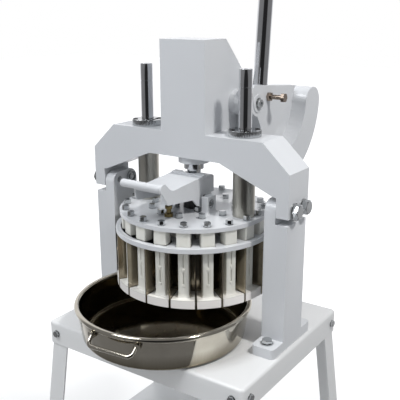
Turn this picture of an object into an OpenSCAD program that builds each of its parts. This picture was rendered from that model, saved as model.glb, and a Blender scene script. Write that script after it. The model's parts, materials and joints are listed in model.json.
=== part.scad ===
// Hand-lever dough divider: a press arch on a splayed stand, a lever and counterweight that drive
// a ram by rack and pinion, and a cutting head with pushers above a round steel pan.
// Millimetres, +Z up, +X to the operator's right, -Y towards the operator.

/* [Stand] */
// Reach of the table past the columns on each side
table_side = 7.5; // [6:0.5:30]
// Depth of the table
table_d = 410; // [380:5:460]
// Height of the table's top above the floor
table_h = 700; // [600:10:800]
// Depth of the folded table edge
apron_h = 51; // [45:1:60]
// Thickness of the table's sheet steel
sheet_t = 3; // [2:0.5:4]
// Corner radius of the table
table_r = 10; // [6:1:16]
// Width of one flange of a leg
leg_flange = 45; // [38:1:52]
// Thickness of a leg's flange
leg_t = 4; // [3:0.5:5]
// Outward lean of the legs in degrees
leg_lean = 5; // [3:0.5:6]
// Side of a floor pad
pad_w = 60; // [54:1:70]
// Thickness of a floor pad
pad_t = 8; // [6:1:12]
// Drop from the table's top to the shelf
shelf_drop = 352; // [320:2:380]
// Depth of the shelf's turned-down edge
shelf_lip = 22; // [16:1:30]
// Thickness of the shelf's sheet steel
shelf_t = 2; // [1.5:0.5:3]

/* [Columns] */
// Room between the knives and a column
column_room = 23; // [22:0.5:26]
// Width of a column
column_w = 50; // [46:1:56]
// Depth of a column
column_d = 80; // [72:1:82]
// Height of a column's shoulder above the table
column_h = 263; // [255:1:270]
// Wall of the column's box section
column_wall = 5; // [4:0.5:6]
// Thickness of the ear on top of a column
ear_t = 24; // [22:1:26]
// Height of the ear above the shoulder
ear_h = 45; // [43:1:47]
// Reach of the foot plate before and behind the column
foot_reach = 42; // [36:1:46]
// Thickness of the foot plate
foot_t = 21; // [16:1:24]
// Diameter of the foot bolts
foot_bolt_d = 12; // [10:1:14]
// Corner radius of the foot plate
foot_r = 9; // [4:1:12]

/* [Arch] */
// Depth of the arch from front to back
arch_d = 82; // [80:1:88]
// Height of the arch's top above the table
arch_top = 419; // [415:1:424]
// Height where the arch's sloping shoulder ends
arch_eave = 364; // [358:1:370]
// Half width of the arch's flat top
arch_flat = 185.5; // [182:0.5:190]
// Height of the arch's soffit
arch_soffit = 367.5; // [366:0.5:370]
// Half width of the flat soffit
soffit_half = 88; // [80:1:92]
// Height of the soffit beside the ears
haunch_z = 316; // [315:1:320]
// Height of the arch's leg ends
arch_leg_z = 277; // [272:1:280]
// Diameter of the bolts through arch and ears
arch_bolt_d = 14; // [12:1:16]
// Pitch of those bolts from front to back
arch_bolt_pitch = 38; // [34:1:42]

/* [Tower] */
// Width of the tower
tower_w = 109; // [106:1:114]
// Height of the tower's top above the table
tower_top = 603; // [600:1:615]
// Depth of the tower's flat top
tower_top_d = 76.5; // [74:0.5:82]
// Reach of the tower's back from the column line
tower_rear = 150; // [148:1:160]
// Wall of the tower
tower_wall = 6; // [5:0.5:7]
// Thickness of the rear cover
cover_t = 4; // [2:0.5:6]

/* [Drive] */
// Gear module of the rack and pinion
gear_module = 4; // [4:0.05:4.1]
// Number of teeth on the pinion
pinion_teeth = 27; // [27:1:27]
// Face width of the pinion
pinion_w = 26; // [20:1:30]
// Height of the pinion shaft above the table
shaft_z = 474; // [472:1:478]
// Diameter of the pinion shaft
shaft_d = 28; // [24:1:30]
// Diameter of the ram
ram_d = 43; // [42:0.5:44]
// Depth of the rack's pitch line behind the ram's axis
rack_y = 18; // [17.5:0.1:18.5]
// Downward travel of the head above the drawn-out pan
head_travel = 15; // [10:0.5:15]

/* [Lever] */
// Backward lean of the lever at rest in degrees
lever_lean = 5; // [3:0.5:7]
// Radius of the lever's hub
hub_r = 27; // [25:0.5:29]
// Height of the lever casting's top edge above the shaft
lever_top = 36; // [34:1:40]
// Inner radius of the counterweight rim
rim_in = 105; // [102:1:108]
// Outer radius of the counterweight rim
rim_out = 175; // [172:1:178]
// Lowest angle of the counterweight rim below level
rim_low = 80; // [72:1:84]
// Outside diameter of the lever pipe
pipe_d = 31; // [28:0.5:34]
// Wall of the lever pipe
pipe_wall = 2.5; // [2:0.5:4]
// Offset of the pipe behind the shaft
pipe_back = 41; // [38:1:46]
// Length of the pipe above the casting
pipe_len = 520; // [400:10:640]
// Length of the rubber grip
grip_len = 130; // [100:5:160]
// Wall of the rubber grip
grip_wall = 3.5; // [2.5:0.5:5]

/* [Guides] */
// Room between a rod sleeve and the pusher bolts beside it
sleeve_room = 0.75; // [0.5:0.05:1.5]
// Diameter of the guide rods
rod_d = 27; // [25:0.5:28]
// Height of the guide rods' tops above the table
rod_top = 550; // [530:1:560]
// Outside diameter of the rod sleeves
sleeve_d = 45.5; // [42:0.5:46]
// Diameter of a guide collar's flange
collar_d = 66; // [62:0.5:70]
// Thickness of a guide collar's flange
collar_t = 13; // [10:0.5:15]

/* [Head] */
// Height of the knives' edges above the table
head_z = 93; // [93:0.5:96]
// Height of the knife plate's underside
knife_plate_z = 207.5; // [205:0.5:210]
// Reach of the knife plate past the press plate
knife_plate_reach = 9; // [8:0.5:10]
// Thickness of the knife plate
knife_plate_t = 10; // [8:0.5:11]
// Height of the press plate's underside
press_plate_z = 246.5; // [245:0.5:248]
// Diameter of the press plate
press_plate_d = 318; // [316:1:326]
// Thickness of the press plate
press_plate_t = 8.5; // [7:0.5:9]
// Thickness of a knife
knife_t = 2; // [1.5:0.5:2.5]
// Reach of the knives past the press plate
knife_reach = 10.5; // [10:0.5:12]
// Width of the outer ring of cells
outer_cell = 52; // [50:0.5:53]
// Radius of the ring knife round the inner cells
ring_inner = 64.5; // [63:0.5:66]
// Least pitch of the outer pushers
outer_pitch = 45; // [43:0.5:45]
// Least pitch of the middle pushers
middle_pitch = 46.5; // [44:0.5:47]
// Pushers in the inner ring
inner_count = 4; // [4:1:4]
// Thickness of a pusher's shoe
shoe_t = 18; // [14:1:20]
// Side of a pusher's post
post_w = 22; // [20:0.5:23]
// Width of a post's head between the two plates
post_head_w = 27.5; // [26:0.5:28]
// Distance of the outer pusher bolts from the press plate's edge
bolt_edge = 13; // [12:0.5:14]
// Diameter of the pusher bolts
pusher_bolt_d = 8; // [6:1:8]
// Upward travel of the press plate over the knife plate
press_travel = 12; // [8:0.5:12]

/* [Latch] */
// Width over the latch flap's cheeks
flap_w = 79; // [78:0.5:80]
// Thickness of the latch flap's sheet
flap_t = 4; // [3:0.5:4]
// Width of the crosshead block
block_w = 68; // [64:0.5:68]
// Height of the crosshead's top above the table
block_top = 325; // [323:0.5:327]
// Diameter of the latch bar
bar_d = 16; // [14:0.5:16]
// Free length of the latch bar left of the flap
bar_reach = 27; // [20:1:40]
// Diameter of the latch pins
latch_pin_d = 8; // [6:0.5:10]

/* [Pan] */
// Room round the knives in the pan's base
pan_room = 2.5; // [1.5:0.5:4]
// Outward flare of the pan's wall up to its rim
pan_flare = 13.5; // [10:0.5:14]
// Height of the pan
pan_h = 77; // [70:0.5:77]
// Wall of the pan
pan_wall = 1.5; // [1:0.1:2]
// Radius of the rolled rim's bead
bead_r = 3; // [2.5:0.1:3.5]
// Radius of the bend between base and wall
pan_bend = 12; // [8:1:16]
// Distance that the pan stands drawn out towards the operator
pan_out = 100; // [90:1:110]
// Distance that the drawn-out pan stands to the left
pan_left = 10; // [6:1:10]
// Wire diameter of the pan's handles
handle_d = 8; // [6:0.5:9]
// Length of a pan handle
handle_w = 110; // [90:1:125]
// Length of a pan handle's legs
handle_leg = 24; // [20:1:30]
// Downward dip of a pan handle in degrees
handle_dip = 37; // [25:1:45]

/* [Hidden] */
$fn = 64;
// Radial clearance of a running fit
run = 0.05;
// Radial clearance of a fixed seat
seat = 0.02;
// Gap between pieces that pass each other
pass = 0.3;
// Depth by which a cutting tool overshoots a face
over = 1;

// The cutting head's rings, from the press plate's edge inwards
plate_r = press_plate_d / 2;
outer_bolt_r = plate_r - bolt_edge;
outer_post_r = outer_bolt_r - 2;
knife_r = plate_r + knife_reach;
knife_plate_d = press_plate_d + 2 * knife_plate_reach;
ring_outer = knife_r - outer_cell;
middle_post_r = (ring_inner + ring_outer) / 2 - 1;
// Pushers per ring, in fours so that none stands in the way of the latch or the rods
outer_count = 4 * floor(2 * PI * outer_post_r / outer_pitch / 4);
middle_count = 4 * floor(2 * PI * middle_post_r / middle_pitch / 4);
outer_turn = 360 / outer_count / 2;
middle_turn = 360 / middle_count / 2;
inner_turn = 360 / inner_count / 2;
pusher_washer_d = 16;
// The guide rods stand between the two nearest outer bolts
sleeve_clear = sleeve_d / 2 + pusher_washer_d / 2 + sleeve_room;
bolt_beside = outer_bolt_r * sin(outer_turn);
guide_half = outer_bolt_r * cos(outer_turn) - sqrt(sleeve_clear * sleeve_clear - bolt_beside * bolt_beside);
column_gap = 2 * (knife_r + column_room);
table_w = column_gap + 2 * column_w + 2 * table_side;
pan_base_r = knife_r + pan_room;
pan_rim_r = pan_base_r + pan_flare;

// Stand
leg_slope = tan(leg_lean);
leg_bend = table_r - sheet_t;
leg_top_z = table_h - sheet_t;
apron_z = table_h - apron_h;
leg_x = table_w / 2 - sheet_t - pass;
leg_y = table_d / 2 - sheet_t - pass;
shelf_z = table_h - shelf_drop;
shelf_spread = (apron_z - shelf_z) * leg_slope;
shelf_half_x = leg_x + shelf_spread - leg_t / cos(leg_lean) - pass;
shelf_half_y = leg_y + shelf_spread - leg_t / cos(leg_lean) - pass;
pad_spread = apron_z * leg_slope;
pad_inset = leg_flange / 2 - leg_t;
pad_x = leg_x + pad_spread - pad_inset;
pad_y = leg_y + pad_spread - pad_inset;
leg_bolt_d = 8;
leg_bolt_in = 24;
shelf_bolt_d = 6;
shelf_bolt_in = 20;

// Columns and arch
column_x = column_gap / 2 + column_w / 2;
ear_x = column_gap / 2 + ear_t;
arch_half = column_x + column_w / 2 + 2;
lap_x = ear_x + 1;
arch_front = -arch_d / 2;
arch_bolt_z = (column_h + ear_h + arch_leg_z) / 2 - 2.5;
foot_bolt_y = column_d / 2 + foot_reach / 2;

// Tower and drive
pitch_r = gear_module * pinion_teeth / 2;
shaft_y = rack_y + pitch_r;
tower_top_y = arch_front + tower_top_d;
tower_fall = tower_rear - tower_top_y;
tower_rear_top = tower_top - tower_fall;
tower_floor = arch_top - 14;
cavity_half = tower_w / 2 - tower_wall;
shaft_boss_r = 26.5;
shaft_boss_x = 66;
bush_wall = 4;
bush_flange = 3;
ram_rise = 110;
ram_top = shaft_z + ram_rise;
ram_bush_d = 56;
ram_boss_d = 66;
ram_boss_t = 15;
cover_z = [tower_floor + 4, tower_rear_top - 4];
cover_screw_in = 7;
cover_screw_d = 5;

// Lever
hub_x0 = shaft_boss_x + 2 * pass;
socket_x0 = 68;
plate_x0 = 80;
lever_face = 110;
web_x = [74, 88];
rim_x = [76, 124];
// Middle of the rim's arc, behind the shaft
rim_c = [90, -2];
pipe_x = (socket_x0 + lever_face) / 2;
socket_depth = 60;
heel_u = 18;
heel_v = 50;
web_low = 100;
block_low = 80;
block_foot = [80, -68];
block_bend = [111, -41];
block_side = [134, -4];
block_reach = 165;
hub_corner = 8;
clamp_d = 10;
clamp_len = 40;
clamp_v = 13;

// Guides
sleeve_id = rod_d + 3;
sleeve_h = 118;
sleeve_top = press_plate_z + press_plate_t + sleeve_h;
sleeve_pocket = 40;
collar_body_d = 40;
collar_body = 25;
collar_screw_d = 6;
collar_screw_r = 26;
collar_sink = 4;

// Head
press_top = press_plate_z + press_plate_t;
knife_top = knife_plate_z + knife_plate_t;
block_z = block_top - 37;
neck_d = 30;
neck_h = 14;
hub_d = 46;
post_gap = 1.5;
inner_post_r = 39;
inner_post_w = 16;
cell_gap = knife_t / 2 + 0.6;
block_y = [-28, 24];
pusher_bolt_deep = 12;

// Latch
pivot_y = -23;
pivot_z = press_top + 20;
cheek_back = -25;
lip_y = -12;
lip_d = 15;
lip_rise = 1.8;
lip_gap = 2;
flap_top = block_top + lip_gap + flap_t;
valley_y = -131;
valley_z = flap_top - 9.6;
flap_slope = (flap_top - valley_z) / (lip_y - valley_y);
flap_front = -150;
front_z = valley_z + 1.4;
bar_y = -155.5;
bar_z = front_z + bar_d / 2 + 0.2;
nose_r = bar_d / 2 + 2;
lug_x = flap_w / 2 + 6;
lug_t = 14;
lug_d = 32;
lug_h = 36;
pin_head_d = 16;
pin_sink = 6;
stop_y = -90;

// Pan
pan_z = 0.2;
pan_wall_r = pan_rim_r - bead_r;
pan_lean = atan((pan_wall_r - pan_base_r) / pan_h);
handle_turn = 6;
handle_z = 60;
handle_bend = 12;
bracket_d = 15;
bracket_t = 9;

// The object's middle from front to back, so that the origin lies under the middle of its box
wall_at_handle = pan_base_r + handle_z * tan(pan_lean);
handle_half = handle_w / 2 - handle_d / 2;
handle_start = sqrt(wall_at_handle * wall_at_handle - handle_half * handle_half) + 5;
bar_out = handle_start + handle_leg * cos(handle_dip);
bend_out = handle_bend * cos(handle_dip);
front_reach = pan_out + (bar_out - bend_out) * cos(handle_turn) + (handle_half - handle_bend) * sin(handle_turn)
    + norm([bend_out * cos(handle_turn), handle_bend * sin(handle_turn)]) + handle_d / 2;
rim_mid = (rim_in + rim_out) / 2;
rim_end = (rim_c.x + rim_mid) * cos(lever_lean) + rim_c.y * sin(lever_lean) + (rim_out - rim_in) / 2;
rear_reach = max(pad_y + pad_w / 2, shaft_y + rim_end);
mid_y = (rear_reach - front_reach) / 2;

function hex_r(across) = across / 2 / cos(30);
function polar(r, a) = [r * cos(a), r * sin(a)];
function arc(r, a0, a1, steps) = [for (i = [0:steps]) polar(r, a0 + (a1 - a0) * i / steps)];

// Placing helpers
module place() { translate([0, -mid_y, 0]) children(); }
module on_table() { translate([0, 0, table_h]) children(); }
module corners(x, y) { for (sx = [-1, 1], sy = [-1, 1]) translate([sx * x, sy * y, 0]) children(); }
module along_x(x0, x1) { translate([x0, 0, 0]) rotate([90, 0, 90]) linear_extrude(x1 - x0) children(); }
module along_y(y0, y1) { translate([0, y1, 0]) rotate([90, 0, 0]) linear_extrude(y1 - y0) children(); }
module rod_x(d, x0, x1) { translate([x0, 0, 0]) rotate([0, 90, 0]) cylinder(d = d, h = x1 - x0); }
module ring_of(count, turn, r) {
    for (i = [0:count - 1]) rotate([0, 0, turn + i * 360 / count]) translate([r, 0, 0]) children();
}
module lever_frame() { translate([0, shaft_y, shaft_z]) rotate([-lever_lean, 0, 0]) children(); }
module pan_frame() { translate([-pan_left, -pan_out, pan_z]) children(); }

// A hexagon bolt that points down from the origin, with a washer under its head
module hex_bolt(d, shank, across, head, washer_d, washer_t) {
    translate([0, 0, -shank]) cylinder(d = d, h = shank + washer_t);
    cylinder(d = washer_d, h = washer_t);
    translate([0, 0, washer_t]) cylinder(r = hex_r(across), h = head, $fn = 6);
}

module rounded_rect(w, d, r) {
    difference() {
        square([w, d], center = true);
        for (sx = [-1, 1], sy = [-1, 1]) translate([sx * (w / 2 - r), sy * (d / 2 - r)]) difference() {
            translate([sx > 0 ? 0 : -r - over, sy > 0 ? 0 : -r - over]) square(r + over);
            circle(r = r);
        }
    }
}

// Stand
module table_top() {
    color("white") difference() {
        translate([0, 0, apron_z]) linear_extrude(apron_h) rounded_rect(table_w, table_d, table_r);
        translate([0, 0, apron_z - over]) linear_extrude(apron_h - sheet_t + over)
            rounded_rect(table_w - 2 * sheet_t, table_d - 2 * sheet_t, table_r - sheet_t);
        for (sx = [-1, 1]) translate([sx * column_x, 0, table_h]) for (sy = [-1, 1])
            translate([0, sy * foot_bolt_y, -sheet_t - over])
                cylinder(d = foot_bolt_d + 2 * seat, h = sheet_t + 2 * over);
        leg_bolt_places() translate([0, 0, -sheet_t - over])
            cylinder(d = leg_bolt_d + 2 * seat, h = sheet_t + 2 * over);
    }
}

// One bolt place on each face of each table corner, with its axis pointing out of the edge
module leg_bolt_places() {
    z = table_h - apron_h / 2;
    for (sx = [-1, 1], sy = [-1, 1]) {
        translate([sx * (table_w / 2 - leg_bolt_in), sy * table_d / 2, z]) rotate([-sy * 90, 0, 0]) children();
        translate([sx * table_w / 2, sy * (table_d / 2 - leg_bolt_in), z]) rotate([0, sx * 90, 0]) children();
    }
}

module leg(sx, sy) {
    reach = table_h / cos(leg_lean) + 100;
    lift = 50;
    color("white") difference() {
        intersection() {
            translate([sx * leg_x, sy * leg_y, apron_z])
                rotate([sy * leg_lean, -sx * leg_lean, 0])
                    translate([0, 0, -reach + lift + apron_h]) linear_extrude(reach)
                        difference() {
                            translate([sx > 0 ? -leg_flange : 0, sy > 0 ? -leg_flange : 0])
                                square(leg_flange);
                            translate([sx > 0 ? -leg_flange - over : leg_t, sy > 0 ? -leg_flange - over : leg_t])
                                square(leg_flange - leg_t + over);
                            translate([-sx * leg_bend, -sy * leg_bend]) difference() {
                                translate([sx > 0 ? 0 : -leg_bend - over, sy > 0 ? 0 : -leg_bend - over])
                                    square(leg_bend + over);
                                circle(r = leg_bend);
                            }
                        }
            translate([-table_w, -table_d, pad_t]) cube([2 * table_w, 2 * table_d, leg_top_z - pad_t]);
        }
        leg_bolt_places() translate([0, 0, -3 * leg_flange / 4])
            cylinder(d = leg_bolt_d + 2 * pass, h = leg_flange);
        shelf_bolt_places() translate([0, 0, -shelf_bolt_in])
            cylinder(d = shelf_bolt_d + 2 * pass, h = 2 * shelf_bolt_in);
    }
}

module floor_pads() { color("dimgray") corners(pad_x, pad_y) translate([-pad_w / 2, -pad_w / 2, 0])
    cube([pad_w, pad_w, pad_t]); }

module leg_bolts() { color("silver") leg_bolt_places() hex_bolt(leg_bolt_d, 14, 13, 5, 16, 1.5); }

// Shelf edge bolts, one through each leg from the side
module shelf_bolt_places() {
    for (sx = [-1, 1], sy = [-1, 1])
        translate([sx * shelf_half_x, sy * (shelf_half_y - shelf_bolt_in), shelf_z - shelf_lip / 2])
            rotate([0, sx * 90, 0]) children();
}

module lower_shelf() {
    color("white") difference() {
        translate([-shelf_half_x, -shelf_half_y, shelf_z - shelf_lip])
            cube([2 * shelf_half_x, 2 * shelf_half_y, shelf_lip]);
        translate([-shelf_half_x + shelf_t, -shelf_half_y + shelf_t, shelf_z - shelf_lip - over])
            cube([2 * (shelf_half_x - shelf_t), 2 * (shelf_half_y - shelf_t), shelf_lip - shelf_t + over]);
        shelf_bolt_places() translate([0, 0, -shelf_t - over])
            cylinder(d = shelf_bolt_d + 2 * seat, h = shelf_t + 2 * over);
    }
}

// The bolt heads stand off the leaning legs by the leg's own lean
module shelf_bolts() {
    stand = leg_t + 2;
    color("silver") shelf_bolt_places() translate([0, 0, stand])
        hex_bolt(shelf_bolt_d, stand + 10, 10, 4, 12, 1.5);
}

// Columns
module column() {
    color("white") difference() {
        union() {
            translate([-column_w / 2, -column_d / 2, 0]) cube([column_w, column_d, column_h]);
            linear_extrude(foot_t) rounded_rect(column_w, column_d + 2 * foot_reach, foot_r);
            along_x(-column_w / 2, -column_w / 2 + ear_t) ear_outline();
        }
        translate([-column_w / 2 + column_wall, -column_d / 2 + column_wall, -over])
            cube([column_w - 2 * column_wall, column_d - 2 * column_wall, column_h - column_wall + over - 12]);
        for (sy = [-1, 1]) translate([0, sy * foot_bolt_y, -over])
            cylinder(d = foot_bolt_d + 2 * seat, h = foot_t + 2 * over);
        arch_bolt_pair() rod_x(arch_bolt_d + 2 * seat, -column_w, column_w);
    }
}

module ear_outline() {
    r = ear_h / 2;
    translate([-column_d / 2, column_h - over]) square([column_d, ear_h - r + over]);
    translate([-column_d / 2 + r, column_h]) square([column_d - 2 * r, ear_h]);
    for (s = [-1, 1]) translate([s * (column_d / 2 - r), column_h + ear_h - r]) circle(r = r);
}

module arch_bolt_pair() { for (s = [-1, 1]) translate([0, s * arch_bolt_pitch / 2, arch_bolt_z]) children(); }
module left_column() { on_table() translate([-column_x, 0, 0]) mirror([1, 0, 0]) column(); }
module right_column() { on_table() translate([column_x, 0, 0]) column(); }

module foot_bolts() {
    color("silver") on_table() for (sx = [-1, 1], sy = [-1, 1])
        translate([sx * column_x, sy * foot_bolt_y, foot_t])
            hex_bolt(foot_bolt_d, foot_t + sheet_t + 8, 19, 7.5, 26, 2.5);
}

// Arch with its tower
module arch_outline() {
    half = [
        [soffit_half, arch_soffit], [ear_x - 8, haunch_z + 2], [lap_x, haunch_z], [lap_x, arch_leg_z],
        [arch_half, arch_leg_z], [arch_half, arch_eave], [arch_flat, arch_top]
    ];
    left = [for (i = [len(half) - 1:-1:0]) [-half[i].x, half[i].y]];
    polygon(concat(half, left));
}

module tower_outline() {
    polygon([
        [arch_front, arch_top - over], [arch_front, tower_top], [tower_top_y, tower_top],
        [tower_rear, tower_rear_top], [tower_rear, tower_floor], [arch_d / 2 - over, tower_floor],
        [arch_d / 2 - over, arch_top - over]
    ]);
}

module tower_cavity() {
    w = tower_wall;
    slope = w * (sqrt(2) - 1);
    polygon([
        [arch_front + w, tower_floor + w], [arch_front + w, tower_top - w],
        [tower_top_y - slope, tower_top - w],
        [tower_rear - w, tower_rear_top - slope], [tower_rear - w, cover_z[1] - w],
        [tower_rear + over, cover_z[1] - w], [tower_rear + over, cover_z[0] + w],
        [tower_rear - w, cover_z[0] + w], [tower_rear - w, tower_floor + w]
    ]);
}

module arch_casting() {
    color("white") on_table() difference() {
        union() {
            along_y(arch_front, arch_d / 2) arch_outline();
            along_x(-tower_w / 2, tower_w / 2) tower_outline();
            translate([0, shaft_y, shaft_z]) rod_x(2 * shaft_boss_r, -tower_w / 2 - 6, shaft_boss_x);
        }
        along_x(-cavity_half, cavity_half) tower_cavity();
        translate([0, 0, arch_soffit - over])
            cylinder(d = ram_bush_d + 2 * seat, h = tower_floor + tower_wall - arch_soffit + 2 * over);
        for (s = [-1, 1]) translate([s * guide_half, 0, 0]) {
            translate([0, 0, haunch_z - sleeve_pocket])
                cylinder(d = sleeve_d + 4 * pass, h = arch_top - collar_body - haunch_z + sleeve_pocket);
            translate([0, 0, arch_top - collar_body - over])
                cylinder(d = collar_body_d + 2 * seat, h = collar_body + 2 * over);
            collar_screw_places() translate([0, 0, -16]) cylinder(d = collar_screw_d + 2 * seat, h = 20);
        }
        translate([0, shaft_y, shaft_z]) rod_x(shaft_d + 2 * bush_wall + 2 * seat, -tower_w, tower_w);
        arch_bolt_pair() rod_x(arch_bolt_d + 2 * seat, -table_w, table_w);
        cover_screw_places() translate([0, 0, -12]) cylinder(d = cover_screw_d + 2 * seat, h = 14);
    }
}

// Bolts from the outside of the arch's legs into the ears; the rear ones carry a round nut inside
module arch_bolts() {
    grip = arch_half - column_gap / 2;
    sunk = 6;
    nut_d = 28;
    nut_t = 5;
    color("silver") on_table() for (sx = [-1, 1]) mirror([sx < 0 ? 1 : 0, 0, 0]) for (s = [-1, 1])
        translate([arch_half, s * arch_bolt_pitch / 2, arch_bolt_z]) rotate([0, 90, 0]) {
            hex_bolt(arch_bolt_d, s < 0 ? grip - sunk : grip + nut_t, 22, 9, 28, 2.5);
            if (s > 0) translate([0, 0, -grip - nut_t]) cylinder(d = nut_d, h = nut_t);
        }
}

module cover_screw_places() {
    for (sx = [-1, 1], z = cover_z)
        translate([sx * (tower_w / 2 - cover_screw_in), tower_rear, z + (z == cover_z[0] ? 1 : -1) * cover_screw_in])
            rotate([-90, 0, 0]) children();
}

module rear_cover() {
    color("white") on_table() difference() {
        translate([-tower_w / 2 + 2, tower_rear, cover_z[0]])
            cube([tower_w - 4, cover_t, cover_z[1] - cover_z[0]]);
        cover_screw_places() cylinder(d = cover_screw_d + 2 * seat, h = cover_t + over);
    }
}

module cover_screws() {
    color("silver") on_table() cover_screw_places() translate([0, 0, cover_t])
        hex_bolt(cover_screw_d, cover_t + 10, 8, 3.5, 10, 1);
}

// Guides
module collar_screw_places() {
    for (a = [45:90:315]) rotate([0, 0, a]) translate([collar_screw_r, 0, arch_top]) children();
}

module guide_collar(s) {
    color("lightgray") on_table() translate([s * guide_half, 0, 0]) difference() {
        union() {
            translate([0, 0, arch_top]) cylinder(d = collar_d, h = collar_t);
            translate([0, 0, arch_top - collar_body]) cylinder(d = collar_body_d, h = collar_body + over);
        }
        translate([0, 0, arch_top - collar_body - over])
            cylinder(d = rod_d + 2 * run, h = collar_body + collar_t + 2 * over);
        collar_screw_places() {
            translate([0, 0, -over]) cylinder(d = collar_screw_d + 2 * seat, h = collar_t + 2 * over);
            translate([0, 0, collar_t - collar_sink]) cylinder(d = 10 + 4 * pass, h = collar_sink + over);
        }
    }
}

module collar_screws() {
    color("silver") on_table() for (s = [-1, 1]) translate([s * guide_half, 0, 0]) collar_screw_places()
        translate([0, 0, collar_t - collar_sink]) {
            translate([0, 0, -collar_t]) cylinder(d = collar_screw_d, h = collar_t);
            difference() {
                cylinder(d = 10, h = 5);
                translate([0, 0, 2]) cylinder(r = hex_r(5), h = 4, $fn = 6);
            }
        }
}

module guide_rod(s) {
    chamfer = 1.5;
    color("silver") on_table() translate([s * guide_half, 0, 0]) {
        translate([0, 0, press_plate_z]) cylinder(d = rod_d, h = rod_top - press_plate_z - chamfer);
        translate([0, 0, rod_top - chamfer]) cylinder(d1 = rod_d, d2 = rod_d - 2 * chamfer, h = chamfer);
    }
}

module rod_sleeve(s) {
    color("darkgray") on_table() translate([s * guide_half, 0, press_top]) difference() {
        cylinder(d = sleeve_d, h = sleeve_top - press_top);
        translate([0, 0, -over]) cylinder(d = sleeve_id, h = sleeve_top - press_top + 2 * over);
    }
}

// Drive
module ram_bush() {
    color("gray") on_table() difference() {
        union() {
            translate([0, 0, arch_soffit - ram_boss_t]) cylinder(d = ram_boss_d, h = ram_boss_t);
            translate([0, 0, arch_soffit - over])
                cylinder(d = ram_bush_d, h = tower_floor + tower_wall - arch_soffit + over);
        }
        translate([0, 0, arch_soffit - ram_boss_t - over]) cylinder(d = ram_d + 2 * run, h = arch_top);
    }
}

module shaft_bush(x0, x1, flange_x) {
    color("darkgoldenrod") on_table() translate([0, shaft_y, shaft_z]) difference() {
        union() {
            rod_x(shaft_d + 2 * bush_wall, x0, x1);
            rod_x(shaft_d + 4 * bush_wall, flange_x, flange_x + bush_flange);
        }
        rod_x(shaft_d + 2 * run, min(x0, flange_x) - over, max(x1, flange_x + bush_flange) + over);
    }
}

module left_shaft_bush() { shaft_bush(-tower_w / 2 - 6, -cavity_half, -cavity_half); }
module right_shaft_bush() { shaft_bush(cavity_half, shaft_boss_x, cavity_half - bush_flange); }

module pinion_shaft() {
    color("silver") on_table() translate([0, shaft_y, shaft_z])
        rod_x(shaft_d, -tower_w / 2 - 6, lever_face - 6);
}

// Involute flank point at radius r, as an angle from the tooth's centre line
function involute(base, r) = let (a = acos(min(1, base / r))) tan(a) * 180 / PI - a;
function tooth_half(r) =
    let (base = pitch_r * cos(20), slack = 0.25)
    90 / pinion_teeth - slack / pitch_r * 90 / PI + involute(base, pitch_r) - involute(base, max(r, base));

module pinion_outline() {
    root = pitch_r - 1.25 * gear_module;
    tip = pitch_r + gear_module;
    base = pitch_r * cos(20);
    radii = [root, base, pitch_r - 1.5, pitch_r, pitch_r + 1.5, pitch_r + 2.8, tip];
    n = len(radii);
    polygon([
        for (t = [0:pinion_teeth - 1], i = [0:2 * n - 1])
            let (
                up = i < n,
                r = up ? radii[i] : radii[2 * n - 1 - i],
                side = up ? -1 : 1
            )
            polar(r, 180 + t * 360 / pinion_teeth + side * tooth_half(r))
    ]);
}

module pinion_gear() {
    color("dimgray") on_table() translate([0, shaft_y, shaft_z]) difference() {
        along_x(-pinion_w / 2, pinion_w / 2) pinion_outline();
        rod_x(shaft_d + 2 * seat, -pinion_w, pinion_w);
    }
}

// Ram with a neck above the crosshead and rack teeth cut across its back
module ram() {
    step = PI * gear_module;
    root = rack_y - 1.3 * gear_module;
    half_root = step / 4 - 1.3 * gear_module * tan(20);
    mouth = ram_d / 2 + 2;
    half_mouth = step / 4 + (mouth - rack_y) * tan(20);
    first = -2;
    last = floor((ram_top - shaft_z) / step) - 1;
    color("silver") on_table() difference() {
        union() {
            translate([0, 0, block_z]) cylinder(d = neck_d, h = block_top - block_z + neck_h + 1);
            translate([0, 0, block_top + neck_h]) cylinder(d = ram_d, h = ram_top - block_top - neck_h);
        }
        for (i = [first:last]) translate([0, 0, shaft_z + i * step]) along_x(-ram_d, ram_d)
            polygon([[root, -half_root], [mouth, -half_mouth], [mouth, half_mouth], [root, half_root]]);
    }
}

// Lever, in a frame with its origin on the shaft, +Y backwards and +Z along the pipe
module rim_outline() {
    translate(rim_c) {
        difference() {
            polygon(concat([[0, 0]], arc(rim_out + 60, -rim_low, 0, 6)));
            circle(r = rim_in, $fn = 96);
            difference() {
                circle(r = 2 * rim_out);
                circle(r = rim_out, $fn = 128);
            }
        }
        for (a = [0, -rim_low]) translate(polar(rim_mid, a)) circle(d = rim_out - rim_in);
    }
}

module web_outline() {
    polygon(concat(
        [[0, lever_top], [0, 0], [heel_u, -heel_v - 4], [heel_u, -web_low]],
        [for (p = arc(rim_in + 6, -rim_low, 0, 12)) rim_c + p],
        [[rim_c.x + rim_in + 6, lever_top - 12]],
        [[rim_c.x + rim_in - 8, lever_top]]
    ));
}

module block_outline() {
    polygon([
        [-hub_r + hub_corner, lever_top], [-hub_r, lever_top - hub_corner], [-hub_r, 0], [0, -hub_r],
        [heel_u, -heel_v], [heel_u, -block_low], block_foot, block_bend, block_side, [block_reach, lever_top]
    ]);
    circle(r = hub_r);
}

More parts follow.
